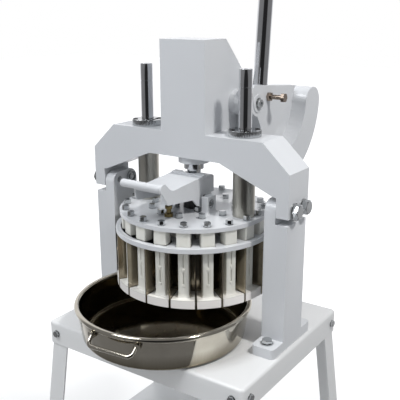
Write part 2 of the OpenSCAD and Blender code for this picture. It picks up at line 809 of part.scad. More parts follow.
module lever_casting() {
    color("white") on_table() lever_frame() difference() {
        union() {
            along_x(web_x[0], web_x[1]) web_outline();
            along_x(rim_x[0], rim_x[1]) rim_outline();
            along_x(plate_x0, lever_face) block_outline();
            along_x(hub_x0, plate_x0 + over) circle(r = hub_r);
            translate([socket_x0, pipe_back - pipe_d / 2 - 8, lever_top - socket_depth - 8])
                cube([plate_x0 - socket_x0 + over, pipe_d + 16, socket_depth + 8]);
        }
        rod_x(shaft_d + 2 * seat, 0, lever_face - 6 + pass);
        rod_x(10 + 2 * seat, 0, lever_face + over);
        translate([pipe_x, pipe_back, lever_top - socket_depth])
            cylinder(d = pipe_d + 2 * seat, h = socket_depth + over);
        translate([0, pipe_back, clamp_v]) rod_x(clamp_d + 2 * seat, pipe_x, lever_face + over);
    }
}

module lever_pipe() {
    color("silver") on_table() lever_frame()
        translate([pipe_x, pipe_back, lever_top - socket_depth]) difference() {
        cylinder(d = pipe_d, h = socket_depth + pipe_len);
        translate([0, 0, -over]) cylinder(d = pipe_d - 2 * pipe_wall, h = socket_depth + pipe_len + 2 * over);
    }
}

module lever_grip() {
    end = 5;
    color("black") on_table() lever_frame()
        translate([pipe_x, pipe_back, lever_top + pipe_len - grip_len]) difference() {
        union() {
            cylinder(d = pipe_d + 2 * grip_wall, h = grip_len + end - 3);
            translate([0, 0, grip_len + end - 3])
                cylinder(d1 = pipe_d + 2 * grip_wall, d2 = pipe_d + 2 * grip_wall - 6, h = 3);
        }
        translate([0, 0, -over]) cylinder(d = pipe_d + 2 * seat, h = grip_len + over);
    }
}

module hub_screw() {
    head = 6;
    color("silver") on_table() lever_frame() difference() {
        union() {
            rod_x(10, lever_face - 6 + pass, lever_face);
            rod_x(22, lever_face, lever_face + 2);
            rod_x(17, lever_face + 2, lever_face + 2 + head);
        }
        along_x(lever_face + 4, lever_face + 3 + head) circle(r = hex_r(8), $fn = 6);
    }
}

// Bolt and locknut that clamp the pipe in its socket
module clamp_bolt() {
    tip_x = pipe_x + pipe_d / 2 + seat;
    color("saddlebrown") on_table() lever_frame() translate([0, pipe_back, clamp_v]) {
        rod_x(clamp_d, tip_x + pass, lever_face + clamp_len - 8);
        along_x(lever_face, lever_face + 7) circle(r = hex_r(17), $fn = 6);
        along_x(lever_face + clamp_len - 8, lever_face + clamp_len) circle(r = hex_r(17), $fn = 6);
    }
}

// Knife head
module crosshead() {
    color("lightgray") on_table() difference() {
        translate([-block_w / 2, block_y[0], block_z])
            cube([block_w, block_y[1] - block_y[0], block_top - block_z]);
        translate([0, 0, block_z - over]) cylinder(d = neck_d + 2 * seat, h = block_top - block_z + 2 * over);
    }
}

module knife_hub() { color("dimgray") on_table() translate([0, 0, knife_top])
    cylinder(d = hub_d, h = block_z - knife_top); }

// Square holes through which the pushers' posts pass
module post_holes(clear) {
    wide = [post_w + 2 * clear, post_head_w + 2 * clear];
    ring_of(outer_count, outer_turn, outer_post_r) square(wide, center = true);
    ring_of(middle_count, middle_turn, middle_post_r) square(wide, center = true);
    ring_of(inner_count, inner_turn, inner_post_r) square(inner_post_w + 2 * clear, center = true);
}

module knife_plate() {
    color("white") on_table() translate([0, 0, knife_plate_z]) linear_extrude(knife_plate_t) difference() {
        circle(d = knife_plate_d, $fn = 128);
        post_holes(post_gap);
    }
}

module blade(r0, r1, h) { translate([r0, -knife_t / 2, 0]) cube([r1 - r0, knife_t, h]); }

module ring_knife(r, h) {
    difference() {
        cylinder(r = r + knife_t / 2, h = h, $fn = 128);
        translate([0, 0, -over]) cylinder(r = r - knife_t / 2, h = h + 2 * over, $fn = 128);
    }
}

module knife_grid() {
    h = knife_plate_z - head_z;
    color("gray") on_table() translate([0, 0, head_z]) {
        ring_knife(ring_outer, h);
        ring_knife(ring_inner, h);
        ring_of(outer_count, 0, 0) blade(ring_outer, knife_r, h);
        ring_of(middle_count, 0, 0) blade(ring_inner, ring_outer, h);
        for (a = [0:360 / inner_count:179]) rotate([0, 0, a]) translate([-ring_inner, 0, 0])
            blade(0, 2 * ring_inner, h);
    }
}

// Press plate with its pushers
module press_plate() {
    color("white") on_table() translate([0, 0, press_plate_z]) difference() {
        cylinder(d = press_plate_d, h = press_plate_t, $fn = 128);
        translate([0, 0, -over]) {
            cylinder(d = hub_d + 4 * pass, h = press_plate_t + 2 * over);
            for (s = [-1, 1]) translate([s * guide_half, 0, 0])
                cylinder(d = rod_d + 2 * seat, h = press_plate_t + 2 * over);
            pusher_bolt_places() cylinder(d = pusher_bolt_d + 2 * seat, h = press_plate_t + 2 * over);
            translate([0, stop_y, 0]) cylinder(d = 8 + 2 * seat, h = press_plate_t + 2 * over);
        }
    }
}

module pusher_bolt_places() {
    ring_of(outer_count, outer_turn, outer_bolt_r) children();
    ring_of(middle_count, middle_turn, middle_post_r) children();
    ring_of(inner_count, inner_turn, inner_post_r) children();
}

// A post with its wider head and tapped hole
module post(w, head, bolt_off) {
    z0 = head_z + shoe_t - over;
    z1 = knife_plate_z + 2;
    difference() {
        union() {
            translate([-w / 2, -w / 2, z0]) cube([w, w, press_plate_z - z0]);
            translate([-w / 2, -head / 2, z1]) cube([w, head, press_plate_z - z1]);
        }
        translate([bolt_off, 0, press_plate_z - pusher_bolt_deep])
            cylinder(d = pusher_bolt_d + 2 * seat, h = pusher_bolt_deep + over);
    }
}

// A shoe between two ring knives and two straight knives
module shoe(count, r0, r1) {
    trim = asin(cell_gap / r0);
    rotate([0, 0, -180 / count + trim]) rotate_extrude(angle = 360 / count - 2 * trim, $fn = 128)
        translate([r0, head_z]) square([r1 - r0, shoe_t]);
}

module outer_pushers() {
    color("ivory") on_table() ring_of(outer_count, outer_turn, 0) {
        shoe(outer_count, ring_outer + cell_gap, knife_r - 1);
        translate([outer_post_r, 0, 0]) post(post_w, post_head_w, outer_bolt_r - outer_post_r);
    }
}

module middle_pushers() {
    color("ivory") on_table() ring_of(middle_count, middle_turn, 0) {
        shoe(middle_count, ring_inner + cell_gap, ring_outer - cell_gap);
        translate([middle_post_r, 0, 0]) post(post_w, post_head_w, 0);
    }
}

module inner_pushers() {
    wedge = 360 / inner_count;
    shift = cell_gap / sin(wedge / 2);
    color("ivory") on_table() ring_of(inner_count, inner_turn, 0) {
        translate([shift, 0, head_z]) rotate([0, 0, -wedge / 2]) rotate_extrude(angle = wedge, $fn = 96)
            square([ring_inner - cell_gap - shift, shoe_t]);
        translate([inner_post_r, 0, 0]) post(inner_post_w, inner_post_w, 0);
    }
}

module pusher_bolts() {
    color("silver") on_table() translate([0, 0, press_top]) pusher_bolt_places()
        hex_bolt(pusher_bolt_d, press_plate_t + pusher_bolt_deep - 2, 13, 5.5, pusher_washer_d, 1.5);
}

// Latch
module latch_lugs() {
    color("white") on_table() for (s = [-1, 1]) mirror([s < 0 ? 1 : 0, 0, 0]) difference() {
        translate([lug_x, pivot_y - lug_d / 2, press_top]) cube([lug_t, lug_d, lug_h]);
        translate([0, pivot_y, pivot_z]) {
            rod_x(latch_pin_d + 2 * seat, 0, table_w);
            rod_x(pin_head_d + 3, lug_x + lug_t - pin_sink, table_w);
        }
    }
}

// Pins that carry the flap, each with a spacer beside the cheek and a socket head sunk into the lug
module latch_pins() {
    out = lug_x + lug_t;
    color("silver") on_table() for (s = [-1, 1]) mirror([s < 0 ? 1 : 0, 0, 0])
        translate([0, pivot_y, pivot_z]) {
        rod_x(latch_pin_d, flap_w / 2 - flap_t - 0.5, out - pin_sink);
        rod_x(latch_pin_d + 8, flap_w / 2 + pass, lug_x);
        difference() {
            rod_x(pin_head_d, out - pin_sink, out - 0.8);
            along_x(out - 3.8, out) circle(r = hex_r(8), $fn = 6);
        }
    }
}

module stop_screw() {
    color("goldenrod") on_table() translate([0, stop_y, press_top]) {
        translate([0, 0, -press_plate_t]) cylinder(d = 8, h = press_plate_t);
        cylinder(r = hex_r(17), h = 7, $fn = 6);
        translate([0, 0, 7]) cylinder(d = 10, h = 10);
        translate([0, 0, 17]) cylinder(r = hex_r(14), h = 6, $fn = 6);
    }
}

// The flap's cheek from the side; only the right one reaches round the bar
module cheek_outline(nose) {
    low_y = flap_front + 11;
    low_z = valley_z - 16;
    low_r = 9;
    difference() {
        union() {
            polygon(concat(
                [
                    [cheek_back, flap_top - (lip_y - cheek_back) * flap_slope], [cheek_back, pivot_z],
                    [pivot_y - 10, pivot_z - 6],
                    [pivot_y - 20, pivot_z - 4], [pivot_y - 37, pivot_z + 13],
                    [low_y + 1, low_z - low_r], [low_y - low_r, low_z]
                ],
                nose ? [[bar_y - nose_r, bar_z - 1], [bar_y + 7, bar_z + 7]]
                    : [[flap_front, front_z - flap_t], [flap_front, front_z]],
                [[valley_y, valley_z + 0.8]]
            ));
            translate([pivot_y, pivot_z]) circle(r = 12);
            translate([low_y, low_z]) circle(r = low_r);
            if (nose) translate([bar_y, bar_z]) circle(r = nose_r);
        }
        translate([pivot_y, pivot_z]) circle(d = latch_pin_d + 2 * run);
    }
}

module latch_flap() {
    half = flap_w / 2;
    color("white") on_table() {
        along_x(-half, -half + flap_t) cheek_outline(false);
        along_x(half - flap_t, half) cheek_outline(true);
        difference() {
            union() {
                along_x(-half + flap_t - 0.1, half - flap_t + 0.1) polygon([
                    [lip_y, flap_top], [lip_y, flap_top - flap_t], [valley_y, valley_z - flap_t],
                    [flap_front, front_z - flap_t], [flap_front, front_z], [valley_y, valley_z]
                ]);
                along_x(-half, half) polygon([
                    [lip_y, flap_top + lip_rise], [lip_y, flap_top - flap_t],
                    [lip_y - lip_d, flap_top - flap_t - lip_d * flap_slope],
                    [lip_y - lip_d, flap_top + lip_rise - lip_d * flap_slope]
                ]);
            }
            translate([0, 0, valley_z - flap_t]) cylinder(d = ram_d + 2.4, h = 30);
        }
    }
}

module latch_bar() {
    color("white") on_table() translate([0, bar_y, bar_z])
        rod_x(bar_d, -flap_w / 2 - bar_reach, flap_w / 2 - flap_t - 0.1);
}

// Pan
module pan() {
    function wall(z, out) = [pan_base_r + z * tan(pan_lean) - (out ? 0 : pan_wall), z];
    outer = [for (a = [-90:15:0]) [pan_base_r - pan_bend + pan_bend * cos(a), pan_bend + pan_bend * sin(a)]];
    inner_bend = pan_bend - pan_wall;
    inner = [for (a = [0:-15:-90]) [pan_base_r - pan_bend + inner_bend * cos(a), pan_bend + inner_bend * sin(a)]];
    color("silver") on_table() pan_frame() {
        rotate_extrude($fn = 128) polygon(concat(
            [[0, 0]], outer, [wall(pan_h - bead_r, true), wall(pan_h - bead_r, false)], inner, [[0, pan_wall]]
        ));
        translate([0, 0, pan_h - bead_r]) rotate_extrude($fn = 128)
            translate([pan_rim_r - bead_r, 0]) circle(r = bead_r, $fn = 24);
    }
}

// The two handle places, with +X pointing away from the pan's axis
module handle_places() {
    for (a = [-90, 90]) rotate([0, 0, a + handle_turn]) translate([0, 0, handle_z]) children();
}

// The bent wire of one handle
module handle_wire(d) {
    translate([handle_start, 0, 0]) rotate([0, handle_dip, 0]) {
        translate([handle_leg, handle_half - handle_bend, 0]) rotate([90, 0, 0])
            cylinder(d = d, h = 2 * (handle_half - handle_bend));
        for (s = [-1, 1]) mirror([0, s < 0 ? 1 : 0, 0]) {
            translate([0, handle_half, 0]) rotate([0, 90, 0]) cylinder(d = d, h = handle_leg - handle_bend);
            translate([handle_leg - handle_bend, handle_half - handle_bend, 0])
                rotate_extrude(angle = 90, $fn = 48) translate([handle_bend, 0]) circle(d = d, $fn = 24);
        }
    }
}

module pan_handles() { color("silver") on_table() pan_frame() handle_places() handle_wire(handle_d); }

// Round brackets on the wall that hold the wire's ends
module handle_brackets() {
    turn = asin(handle_half / wall_at_handle);
    color("silver") on_table() pan_frame() handle_places() difference() {
        for (s = [-1, 1]) rotate([0, 0, s * turn]) translate([wall_at_handle, 0, 0]) rotate([0, pan_lean, 0])
            translate([0.2, 0, 0]) rotate([0, 90, 0]) cylinder(d = bracket_d, h = bracket_t);
        handle_wire(handle_d + 2 * seat);
    }
}

place() table_top();
place() leg(-1, -1);  // leg_front_left
place() leg(1, -1);  // leg_front_right
place() leg(-1, 1);  // leg_rear_left
place() leg(1, 1);  // leg_rear_right
place() floor_pads();
place() lower_shelf();
place() leg_bolts();
place() shelf_bolts();
place() left_column();
place() right_column();
place() foot_bolts();
place() arch_casting();
place() arch_bolts();
place() rear_cover();
place() cover_screws();
place() guide_collar(-1);  // left_guide_collar
place() guide_collar(1);  // right_guide_collar
place() collar_screws();
place() ram_bush();
place() left_shaft_bush();
place() right_shaft_bush();
place() pinion_shaft();
place() pinion_gear();
place() lever_casting();
place() lever_pipe();
place() lever_grip();
place() hub_screw();
place() clamp_bolt();
place() ram();
place() crosshead();
place() knife_hub();
place() knife_plate();
place() knife_grid();
place() press_plate();
place() outer_pushers();
place() middle_pushers();
place() inner_pushers();
place() pusher_bolts();
place() guide_rod(-1);  // left_guide_rod
place() guide_rod(1);  // right_guide_rod
place() rod_sleeve(-1);  // left_rod_sleeve
place() rod_sleeve(1);  // right_rod_sleeve
place() latch_lugs();
place() latch_pins();
place() stop_screw();
place() latch_flap();
place() latch_bar();
place() pan();
place() pan_handles();
place() handle_brackets();
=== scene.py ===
# %% [markdown]
# A hand-lever dough divider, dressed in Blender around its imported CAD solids.
# The solids already have the right sizes and joints. This lesson adds what a solid model lacks: softened
# edges, spun and bent sheet metal, real bolt heads, and finishes such as powder coat, chrome and ivory
# plastic.

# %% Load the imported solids
import json
import math

import bmesh
import bpy
from mathutils import Matrix, Vector

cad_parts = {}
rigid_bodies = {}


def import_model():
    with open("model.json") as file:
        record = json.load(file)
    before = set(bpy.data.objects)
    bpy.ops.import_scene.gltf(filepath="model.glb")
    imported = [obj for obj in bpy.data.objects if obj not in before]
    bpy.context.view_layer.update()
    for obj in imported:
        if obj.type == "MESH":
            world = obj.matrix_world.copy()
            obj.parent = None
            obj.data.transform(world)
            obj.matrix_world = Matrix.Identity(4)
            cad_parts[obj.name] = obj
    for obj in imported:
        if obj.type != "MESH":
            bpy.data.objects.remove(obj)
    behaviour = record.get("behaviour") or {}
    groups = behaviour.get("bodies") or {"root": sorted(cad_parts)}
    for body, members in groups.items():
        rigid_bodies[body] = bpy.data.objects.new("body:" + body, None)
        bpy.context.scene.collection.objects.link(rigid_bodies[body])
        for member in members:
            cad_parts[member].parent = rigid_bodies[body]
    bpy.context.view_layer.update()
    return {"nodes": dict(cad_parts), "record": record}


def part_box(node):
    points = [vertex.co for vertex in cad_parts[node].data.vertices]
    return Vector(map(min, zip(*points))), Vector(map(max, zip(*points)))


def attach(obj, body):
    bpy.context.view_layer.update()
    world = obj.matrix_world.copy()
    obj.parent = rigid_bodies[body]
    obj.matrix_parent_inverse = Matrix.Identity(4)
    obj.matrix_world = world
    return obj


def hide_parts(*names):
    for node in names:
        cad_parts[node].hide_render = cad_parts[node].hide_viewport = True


for old in list(bpy.data.objects):
    bpy.data.objects.remove(old)
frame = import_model()
nodes = frame["nodes"]
MM = 0.001
print("CAD nodes:", len(nodes))

# %% [markdown]
# Every later piece hangs on a few places of the solids: the table's top, the line of the columns and the
# middle of the pan. Reading them from the boxes of the nodes keeps the two models in one frame.

# %% Reference places
def middle(node):
    low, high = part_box(node)
    return (low + high) / 2


TABLE_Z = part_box("table_top")[1].z
COLUMN_Y = middle("left_column").y
PAN_AXIS = middle("pan")
print("table top", round(TABLE_Z, 4), "column line", round(COLUMN_Y, 4))


def at(x, y, z):
    """A point given in millimetres from the table's top and the column line."""
    return Vector((x * MM, COLUMN_Y + y * MM, TABLE_Z + z * MM))


# %% [markdown]
# The camera stands to the operator's right, a little above the tower, and looks down at it. Its angles
# come from matching known straight edges of the press with a photograph's perspective.

# %% Camera
YAW = math.radians(34.654)
PITCH = math.radians(16.154)
ROLL = math.radians(-0.131)
CAMERA_AT = at(785.04, -1114.33, 662.61)
LENS = 59.853
SENSOR = 36
camera_data = bpy.data.cameras.new("press_camera")
camera_data.sensor_width = SENSOR
camera_data.lens = LENS
camera = bpy.data.objects.new("press_camera", camera_data)
turn = (Matrix.Rotation(YAW, 4, "Z") @ Matrix.Rotation(math.pi / 2 - PITCH, 4, "X")
        @ Matrix.Rotation(ROLL, 4, "Z"))
camera.matrix_world = Matrix.Translation(CAMERA_AT) @ turn
bpy.context.scene.collection.objects.link(camera)
bpy.context.scene.camera = camera
print("camera at", [round(v, 3) for v in camera.location])

# %% [markdown]
# A white studio: a pale floor, a small key light high on the right that draws the clear shadows, a broad
# soft light above the operator that fills the fronts and the tops, and a weak light low in front that lifts
# the shade under the head. Mirrors see neither the floor nor the low light, because a rod seen from above
# would show nothing else.

# %% Floor and light
FLOOR_HALF = 14.0
bm = bmesh.new()
bmesh.ops.create_grid(bm, x_segments=8, y_segments=8, size=FLOOR_HALF)
floor_mesh = bpy.data.meshes.new("studio_floor")
bm.to_mesh(floor_mesh)
bm.free()
floor = bpy.data.objects.new("studio_floor", floor_mesh)
bpy.context.scene.collection.objects.link(floor)
floor.visible_glossy = False

PRESS_MIDDLE = at(0, -40, 220)


def studio_light(name, toward, distance, size, watts, tint):
    """An area light that stands off along a direction and faces the press."""
    data = bpy.data.lights.new(name, "AREA")
    data.shape = "DISK"
    data.size = size
    data.energy = watts
    data.color = tint
    lamp = bpy.data.objects.new(name, data)
    direction = Vector(toward).normalized()
    lamp.matrix_world = Matrix.Translation(PRESS_MIDDLE + direction * distance) @ (
        direction.to_track_quat("Z", "Y").to_matrix().to_4x4())
    bpy.context.scene.collection.objects.link(lamp)
    return lamp


studio_light("key_light", toward=(0.60, -0.05, 0.80), distance=3.0, size=0.30, watts=55,
             tint=(1.0, 0.985, 0.96))
studio_light("soft_light", toward=(-0.26, -0.56, 0.79), distance=3.2, size=1.4, watts=54,
             tint=(0.96, 0.98, 1.0))
front_fill = studio_light("front_fill", toward=(-0.30, -0.94, 0.10), distance=3.0, size=1.8, watts=8,
                          tint=(1.0, 0.985, 0.965))
front_fill.visible_glossy = False

# %% [markdown]
# The surround is white for the eye. As soft light it is pale at the sides and brighter overhead, like a
# studio with a white ceiling. What polished metal mirrors is set apart by the Light Path node: a dark patch
# where the camera stands, a grey room on both sides and the white wall behind the press. That gives chrome
# its dark core, grey flanks and bright rims.

# %% Surround
bpy.context.scene.view_settings.view_transform = "Standard"
world = bpy.data.worlds.new("white_studio")
bpy.context.scene.world = world
world.use_nodes = True
sky = world.node_tree
sky.nodes.clear()
DARK_SIDE = Vector((0.563, -0.785, -0.13)).normalized()
ROOM = ((0.18, 0.95), (0.34, 0.24), (0.89, 0.21), (0.93, 0.02))
SKY_SIDE = 0.24
SKY_TOP = 0.66


def calculation(tree, kind, operation):
    """A Math or Vector Math node set to one operation."""
    node = tree.nodes.new("ShaderNode" + kind)
    node.operation = operation
    return node


ray = sky.nodes.new("ShaderNodeTexCoord")
darkness = calculation(sky, "VectorMath", "DOT_PRODUCT")
darkness.inputs[1].default_value = DARK_SIDE
to_share = sky.nodes.new("ShaderNodeMapRange")
to_share.inputs["From Min"].default_value = -1
ramp = sky.nodes.new("ShaderNodeValToRGB")
stops = ramp.color_ramp.elements
while len(stops) < len(ROOM):
    stops.new(0.5)
for stop, (place, bright) in zip(stops, ROOM):
    stop.position = place
    stop.color = (bright, bright, bright * 1.02, 1)
height = sky.nodes.new("ShaderNodeSeparateXYZ")
sky_rise = sky.nodes.new("ShaderNodeMapRange")
sky_rise.inputs["To Min"].default_value = SKY_SIDE
sky_rise.inputs["To Max"].default_value = SKY_TOP
print("mirrored room stops:", len(stops))

# %% [markdown]
# Three backgrounds are chosen between by the kind of ray that asks: mirrored for glossy rays, even for soft
# light and seen for the camera.

# %% Surround by kind of ray
def wire(tree, *pairs):
    """Links each pair of an output and an input."""
    for output, entry in pairs:
        tree.links.new(output, entry)


mirrored = sky.nodes.new("ShaderNodeBackground")
even = sky.nodes.new("ShaderNodeBackground")
even.inputs["Color"].default_value = (0.93, 0.96, 1.0, 1)
seen = sky.nodes.new("ShaderNodeBackground")
seen.inputs["Color"].default_value = (1, 1, 1, 1)
path = sky.nodes.new("ShaderNodeLightPath")
pick_mirror = sky.nodes.new("ShaderNodeMixShader")
pick_seen = sky.nodes.new("ShaderNodeMixShader")
sky_out = sky.nodes.new("ShaderNodeOutputWorld")
wire(sky,
     (ray.outputs["Generated"], darkness.inputs[0]),
     (darkness.outputs["Value"], to_share.inputs["Value"]),
     (to_share.outputs["Result"], ramp.inputs["Fac"]),
     (ramp.outputs["Color"], mirrored.inputs["Color"]),
     (ray.outputs["Generated"], height.inputs[0]),
     (height.outputs["Z"], sky_rise.inputs["Value"]),
     (sky_rise.outputs["Result"], even.inputs["Strength"]),
     (path.outputs["Is Glossy Ray"], pick_mirror.inputs["Fac"]),
     (even.outputs["Background"], pick_mirror.inputs[1]),
     (mirrored.outputs["Background"], pick_mirror.inputs[2]),
     (path.outputs["Is Camera Ray"], pick_seen.inputs["Fac"]),
     (pick_mirror.outputs["Shader"], pick_seen.inputs[1]),
     (seen.outputs["Background"], pick_seen.inputs[2]),
     (pick_seen.outputs["Shader"], sky_out.inputs["Surface"]))
print("surround nodes:", len(sky.nodes))

# %% [markdown]
# Shader groups hold the effects that several finishes share. A group puts out colours, masks and heights
# only; each material keeps its own Principled shader, so the finish can be exported.

# %% Shader group helpers
def shader_group(name, sockets_in, sockets_out):
    """A new shader node group with named sockets, and its two end nodes."""
    tree = bpy.data.node_groups.new(name, "ShaderNodeTree")
    for label, kind, value in sockets_in:
        socket = tree.interface.new_socket(label, in_out="INPUT", socket_type=kind)
        if value is not None:
            socket.default_value = value
    for label, kind in sockets_out:
        tree.interface.new_socket(label, in_out="OUTPUT", socket_type=kind)
    start = tree.nodes.new("NodeGroupInput")
    end = tree.nodes.new("NodeGroupOutput")
    return tree, start, end


def noise(tree, vector, scale, detail=2.0, rough=0.5):
    """A noise texture on the given vector."""
    node = tree.nodes.new("ShaderNodeTexNoise")
    node.inputs["Scale"].default_value = scale
    node.inputs["Detail"].default_value = detail
    node.inputs["Roughness"].default_value = rough
    tree.links.new(vector, node.inputs["Vector"])
    return node.outputs["Fac"]


def remap(tree, value, low, high, to_low, to_high):
    """A clamped change of range."""
    node = tree.nodes.new("ShaderNodeMapRange")
    node.inputs["From Min"].default_value = low
    node.inputs["From Max"].default_value = high
    node.inputs["To Min"].default_value = to_low
    node.inputs["To Max"].default_value = to_high
    tree.links.new(value, node.inputs["Value"])
    return node.outputs["Result"]


def blend_colours(tree, factor, first, second):
    """Two colours mixed by a mask; each colour is a socket or a plain value."""
    node = tree.nodes.new("ShaderNodeMix")
    node.data_type = "RGBA"
    tree.links.new(factor, node.inputs["Factor"])
    for socket, colour in ((node.inputs[6], first), (node.inputs[7], second)):
        if isinstance(colour, (tuple, list)):
            socket.default_value = (*colour, 1)
        else:
            tree.links.new(colour, socket)
    return node.outputs[2]


# %% [markdown]
# Powder coat is a baked plastic skin. Close up it has a fine orange-peel ripple, and over a whole casting
# its white drifts slightly between lighter and darker, with faint handling marks.

# %% Powder coat group
coat_skin, skin_in, skin_out = shader_group(
    "coat_skin",
    [("Vector", "NodeSocketVector", None), ("Clean", "NodeSocketColor", (0.8, 0.8, 0.8, 1)),
     ("Worn", "NodeSocketColor", (0.6, 0.6, 0.6, 1)), ("Gloss Low", "NodeSocketFloat", 0.25),
     ("Gloss High", "NodeSocketFloat", 0.4)],
    [("Colour", "NodeSocketColor"), ("Roughness", "NodeSocketFloat"), ("Height", "NodeSocketFloat")])
skin_place = skin_in.outputs["Vector"]
drift = remap(coat_skin, noise(coat_skin, skin_place, scale=7.0, detail=3.0), 0.35, 0.7, 0.0, 0.35)
handling = noise(coat_skin, skin_place, scale=38.0, detail=4.0, rough=0.65)
smear = remap(coat_skin, handling, 0.5, 0.75, 0.0, 1.0)
peel = noise(coat_skin, skin_place, scale=620.0, detail=1.0)
paint = blend_colours(coat_skin, drift, skin_in.outputs["Clean"], skin_in.outputs["Worn"])
gloss = coat_skin.nodes.new("ShaderNodeMapRange")
wire(coat_skin,
     (paint, skin_out.inputs["Colour"]),
     (smear, gloss.inputs["Value"]),
     (skin_in.outputs["Gloss Low"], gloss.inputs["To Min"]),
     (skin_in.outputs["Gloss High"], gloss.inputs["To Max"]),
     (gloss.outputs["Result"], skin_out.inputs["Roughness"]),
     (peel, skin_out.inputs["Height"]))
print("group", coat_skin.name)

# %% [markdown]
# Machined metal carries two marks: fine lines left by the tool or the polishing belt, and soft smudges
# where hands and cloths have been. The lines are a noise squeezed along one axis.

# %% Metal marks group
LINE_SHARE = 0.6
DULLEST = 1.5
metal_marks, mark_in, mark_out = shader_group(
    "metal_marks",
    [("Vector", "NodeSocketVector", None), ("Lines", "NodeSocketVector", (300.0, 300.0, 8.0)),
     ("Polished", "NodeSocketFloat", 0.08), ("Dull", "NodeSocketFloat", 0.25)],
    [("Lines", "NodeSocketFloat"), ("Smudge", "NodeSocketFloat"), ("Roughness", "NodeSocketFloat")])
stretch = calculation(metal_marks, "VectorMath", "MULTIPLY")
line_mask = noise(metal_marks, stretch.outputs["Vector"], scale=1.0, detail=3.0, rough=0.6)
smudges = noise(metal_marks, mark_in.outputs["Vector"], scale=24.0, detail=4.0, rough=0.6)
smudge_mask = remap(metal_marks, smudges, 0.42, 0.72, 0.0, 1.0)
both = calculation(metal_marks, "Math", "MULTIPLY_ADD")
both.inputs[1].default_value = LINE_SHARE
dulling = metal_marks.nodes.new("ShaderNodeMapRange")
dulling.inputs["From Max"].default_value = DULLEST
wire(metal_marks,
     (mark_in.outputs["Vector"], stretch.inputs[0]),
     (mark_in.outputs["Lines"], stretch.inputs[1]),
     (line_mask, mark_out.inputs["Lines"]),
     (smudge_mask, mark_out.inputs["Smudge"]),
     (line_mask, both.inputs[0]),
     (smudge_mask, both.inputs[2]),
     (both.outputs["Value"], dulling.inputs["Value"]),
     (mark_in.outputs["Polished"], dulling.inputs["To Min"]),
     (mark_in.outputs["Dull"], dulling.inputs["To Max"]),
     (dulling.outputs["Result"], mark_out.inputs["Roughness"]))
print("group", metal_marks.name)

# %% [markdown]
# A spun pan is polished while it turns, so its marks run round the axis. This group changes a point into
# its distance from the axis and its height, and makes rings from those two.

# %% Spun rings group
spun_rings, ring_in, ring_out = shader_group(
    "spun_rings",
    [("Vector", "NodeSocketVector", None), ("Axis Point", "NodeSocketVector", (0.0, 0.0, 0.0)),
     ("Ring Scale", "NodeSocketFloat", 420.0)],
    [("Rings", "NodeSocketFloat"), ("Blotch", "NodeSocketFloat"), ("Reach", "NodeSocketFloat"),
     ("Height", "NodeSocketFloat")])
local = calculation(spun_rings, "VectorMath", "SUBTRACT")
apart = spun_rings.nodes.new("ShaderNodeSeparateXYZ")
flat = spun_rings.nodes.new("ShaderNodeCombineXYZ")
reach = calculation(spun_rings, "VectorMath", "LENGTH")
ring_place = spun_rings.nodes.new("ShaderNodeCombineXYZ")
ring_noise = spun_rings.nodes.new("ShaderNodeTexNoise")
ring_noise.inputs["Detail"].default_value = 3.0
blotch = noise(spun_rings, ring_in.outputs["Vector"], scale=14.0, detail=4.0, rough=0.6)
wire(spun_rings,
     (ring_in.outputs["Vector"], local.inputs[0]),
     (ring_in.outputs["Axis Point"], local.inputs[1]),
     (local.outputs["Vector"], apart.inputs[0]),
     (apart.outputs["X"], flat.inputs["X"]),
     (apart.outputs["Y"], flat.inputs["Y"]),
     (flat.outputs["Vector"], reach.inputs[0]),
     (reach.outputs["Value"], ring_place.inputs["X"]),
     (apart.outputs["Z"], ring_place.inputs["Y"]),
     (ring_place.outputs["Vector"], ring_noise.inputs["Vector"]),
     (ring_in.outputs["Ring Scale"], ring_noise.inputs["Scale"]),
     (ring_noise.outputs["Fac"], ring_out.inputs["Rings"]),
     (reach.outputs["Value"], ring_out.inputs["Reach"]),
     (apart.outputs["Z"], ring_out.inputs["Height"]),
     (blotch, ring_out.inputs["Blotch"]))
print("group", spun_rings.name)

# %% [markdown]
# Each finish of the press becomes one material. The helper makes the Principled shader, a Texture
# Coordinate node and a Bump node, and leaves the wiring of its group to the finish.

# %% Material helpers
def finish_material(name, metallic, bump_strength, bump_distance):
    """A material with its Principled shader, object coordinates and bump ready to be wired."""
    material = bpy.data.materials.new(name)
    material.use_nodes = True
    tree = material.node_tree
    shader = tree.nodes["Principled BSDF"]
    shader.inputs["Metallic"].default_value = metallic
    place = tree.nodes.new("ShaderNodeTexCoord")
    bump = tree.nodes.new("ShaderNodeBump")
    bump.inputs["Strength"].default_value = bump_strength
    bump.inputs["Distance"].default_value = bump_distance
    tree.links.new(bump.outputs["Normal"], shader.inputs["Normal"])
    return material, tree, shader, place.outputs["Object"], bump


def use_group(tree, group, vector, **values):
    """Places a group in a material, feeds it the vector, and sets its named inputs."""
    node = tree.nodes.new("ShaderNodeGroup")
    node.node_tree = group
    tree.links.new(vector, node.inputs["Vector"])
    for label, value in values.items():
        node.inputs[label.replace("_", " ")].default_value = value
    return node


# %% [markdown]
# White powder coat covers the castings and the folded sheet. The castings are a touch glossier and their
# ripple is stronger than on the sheet.

# %% White coats
def powder_coat(name, clean, worn, gloss_low, gloss_high, ripple):
    """Paint with two close shades, a range of roughness and a fine ripple."""
    material, tree, shader, vector, bump = finish_material(
        name, metallic=0.0, bump_strength=ripple, bump_distance=0.4 * MM)
    skin = use_group(tree, coat_skin, vector, Clean=(*clean, 1), Worn=(*worn, 1),
                     Gloss_Low=gloss_low, Gloss_High=gloss_high)
    wire(tree,
         (skin.outputs["Colour"], shader.inputs["Base Color"]),
         (skin.outputs["Roughness"], shader.inputs["Roughness"]),
         (skin.outputs["Height"], bump.inputs["Height"]))
    shader.inputs["Coat Weight"].default_value = 0.25
    shader.inputs["Coat Roughness"].default_value = 0.2
    return material


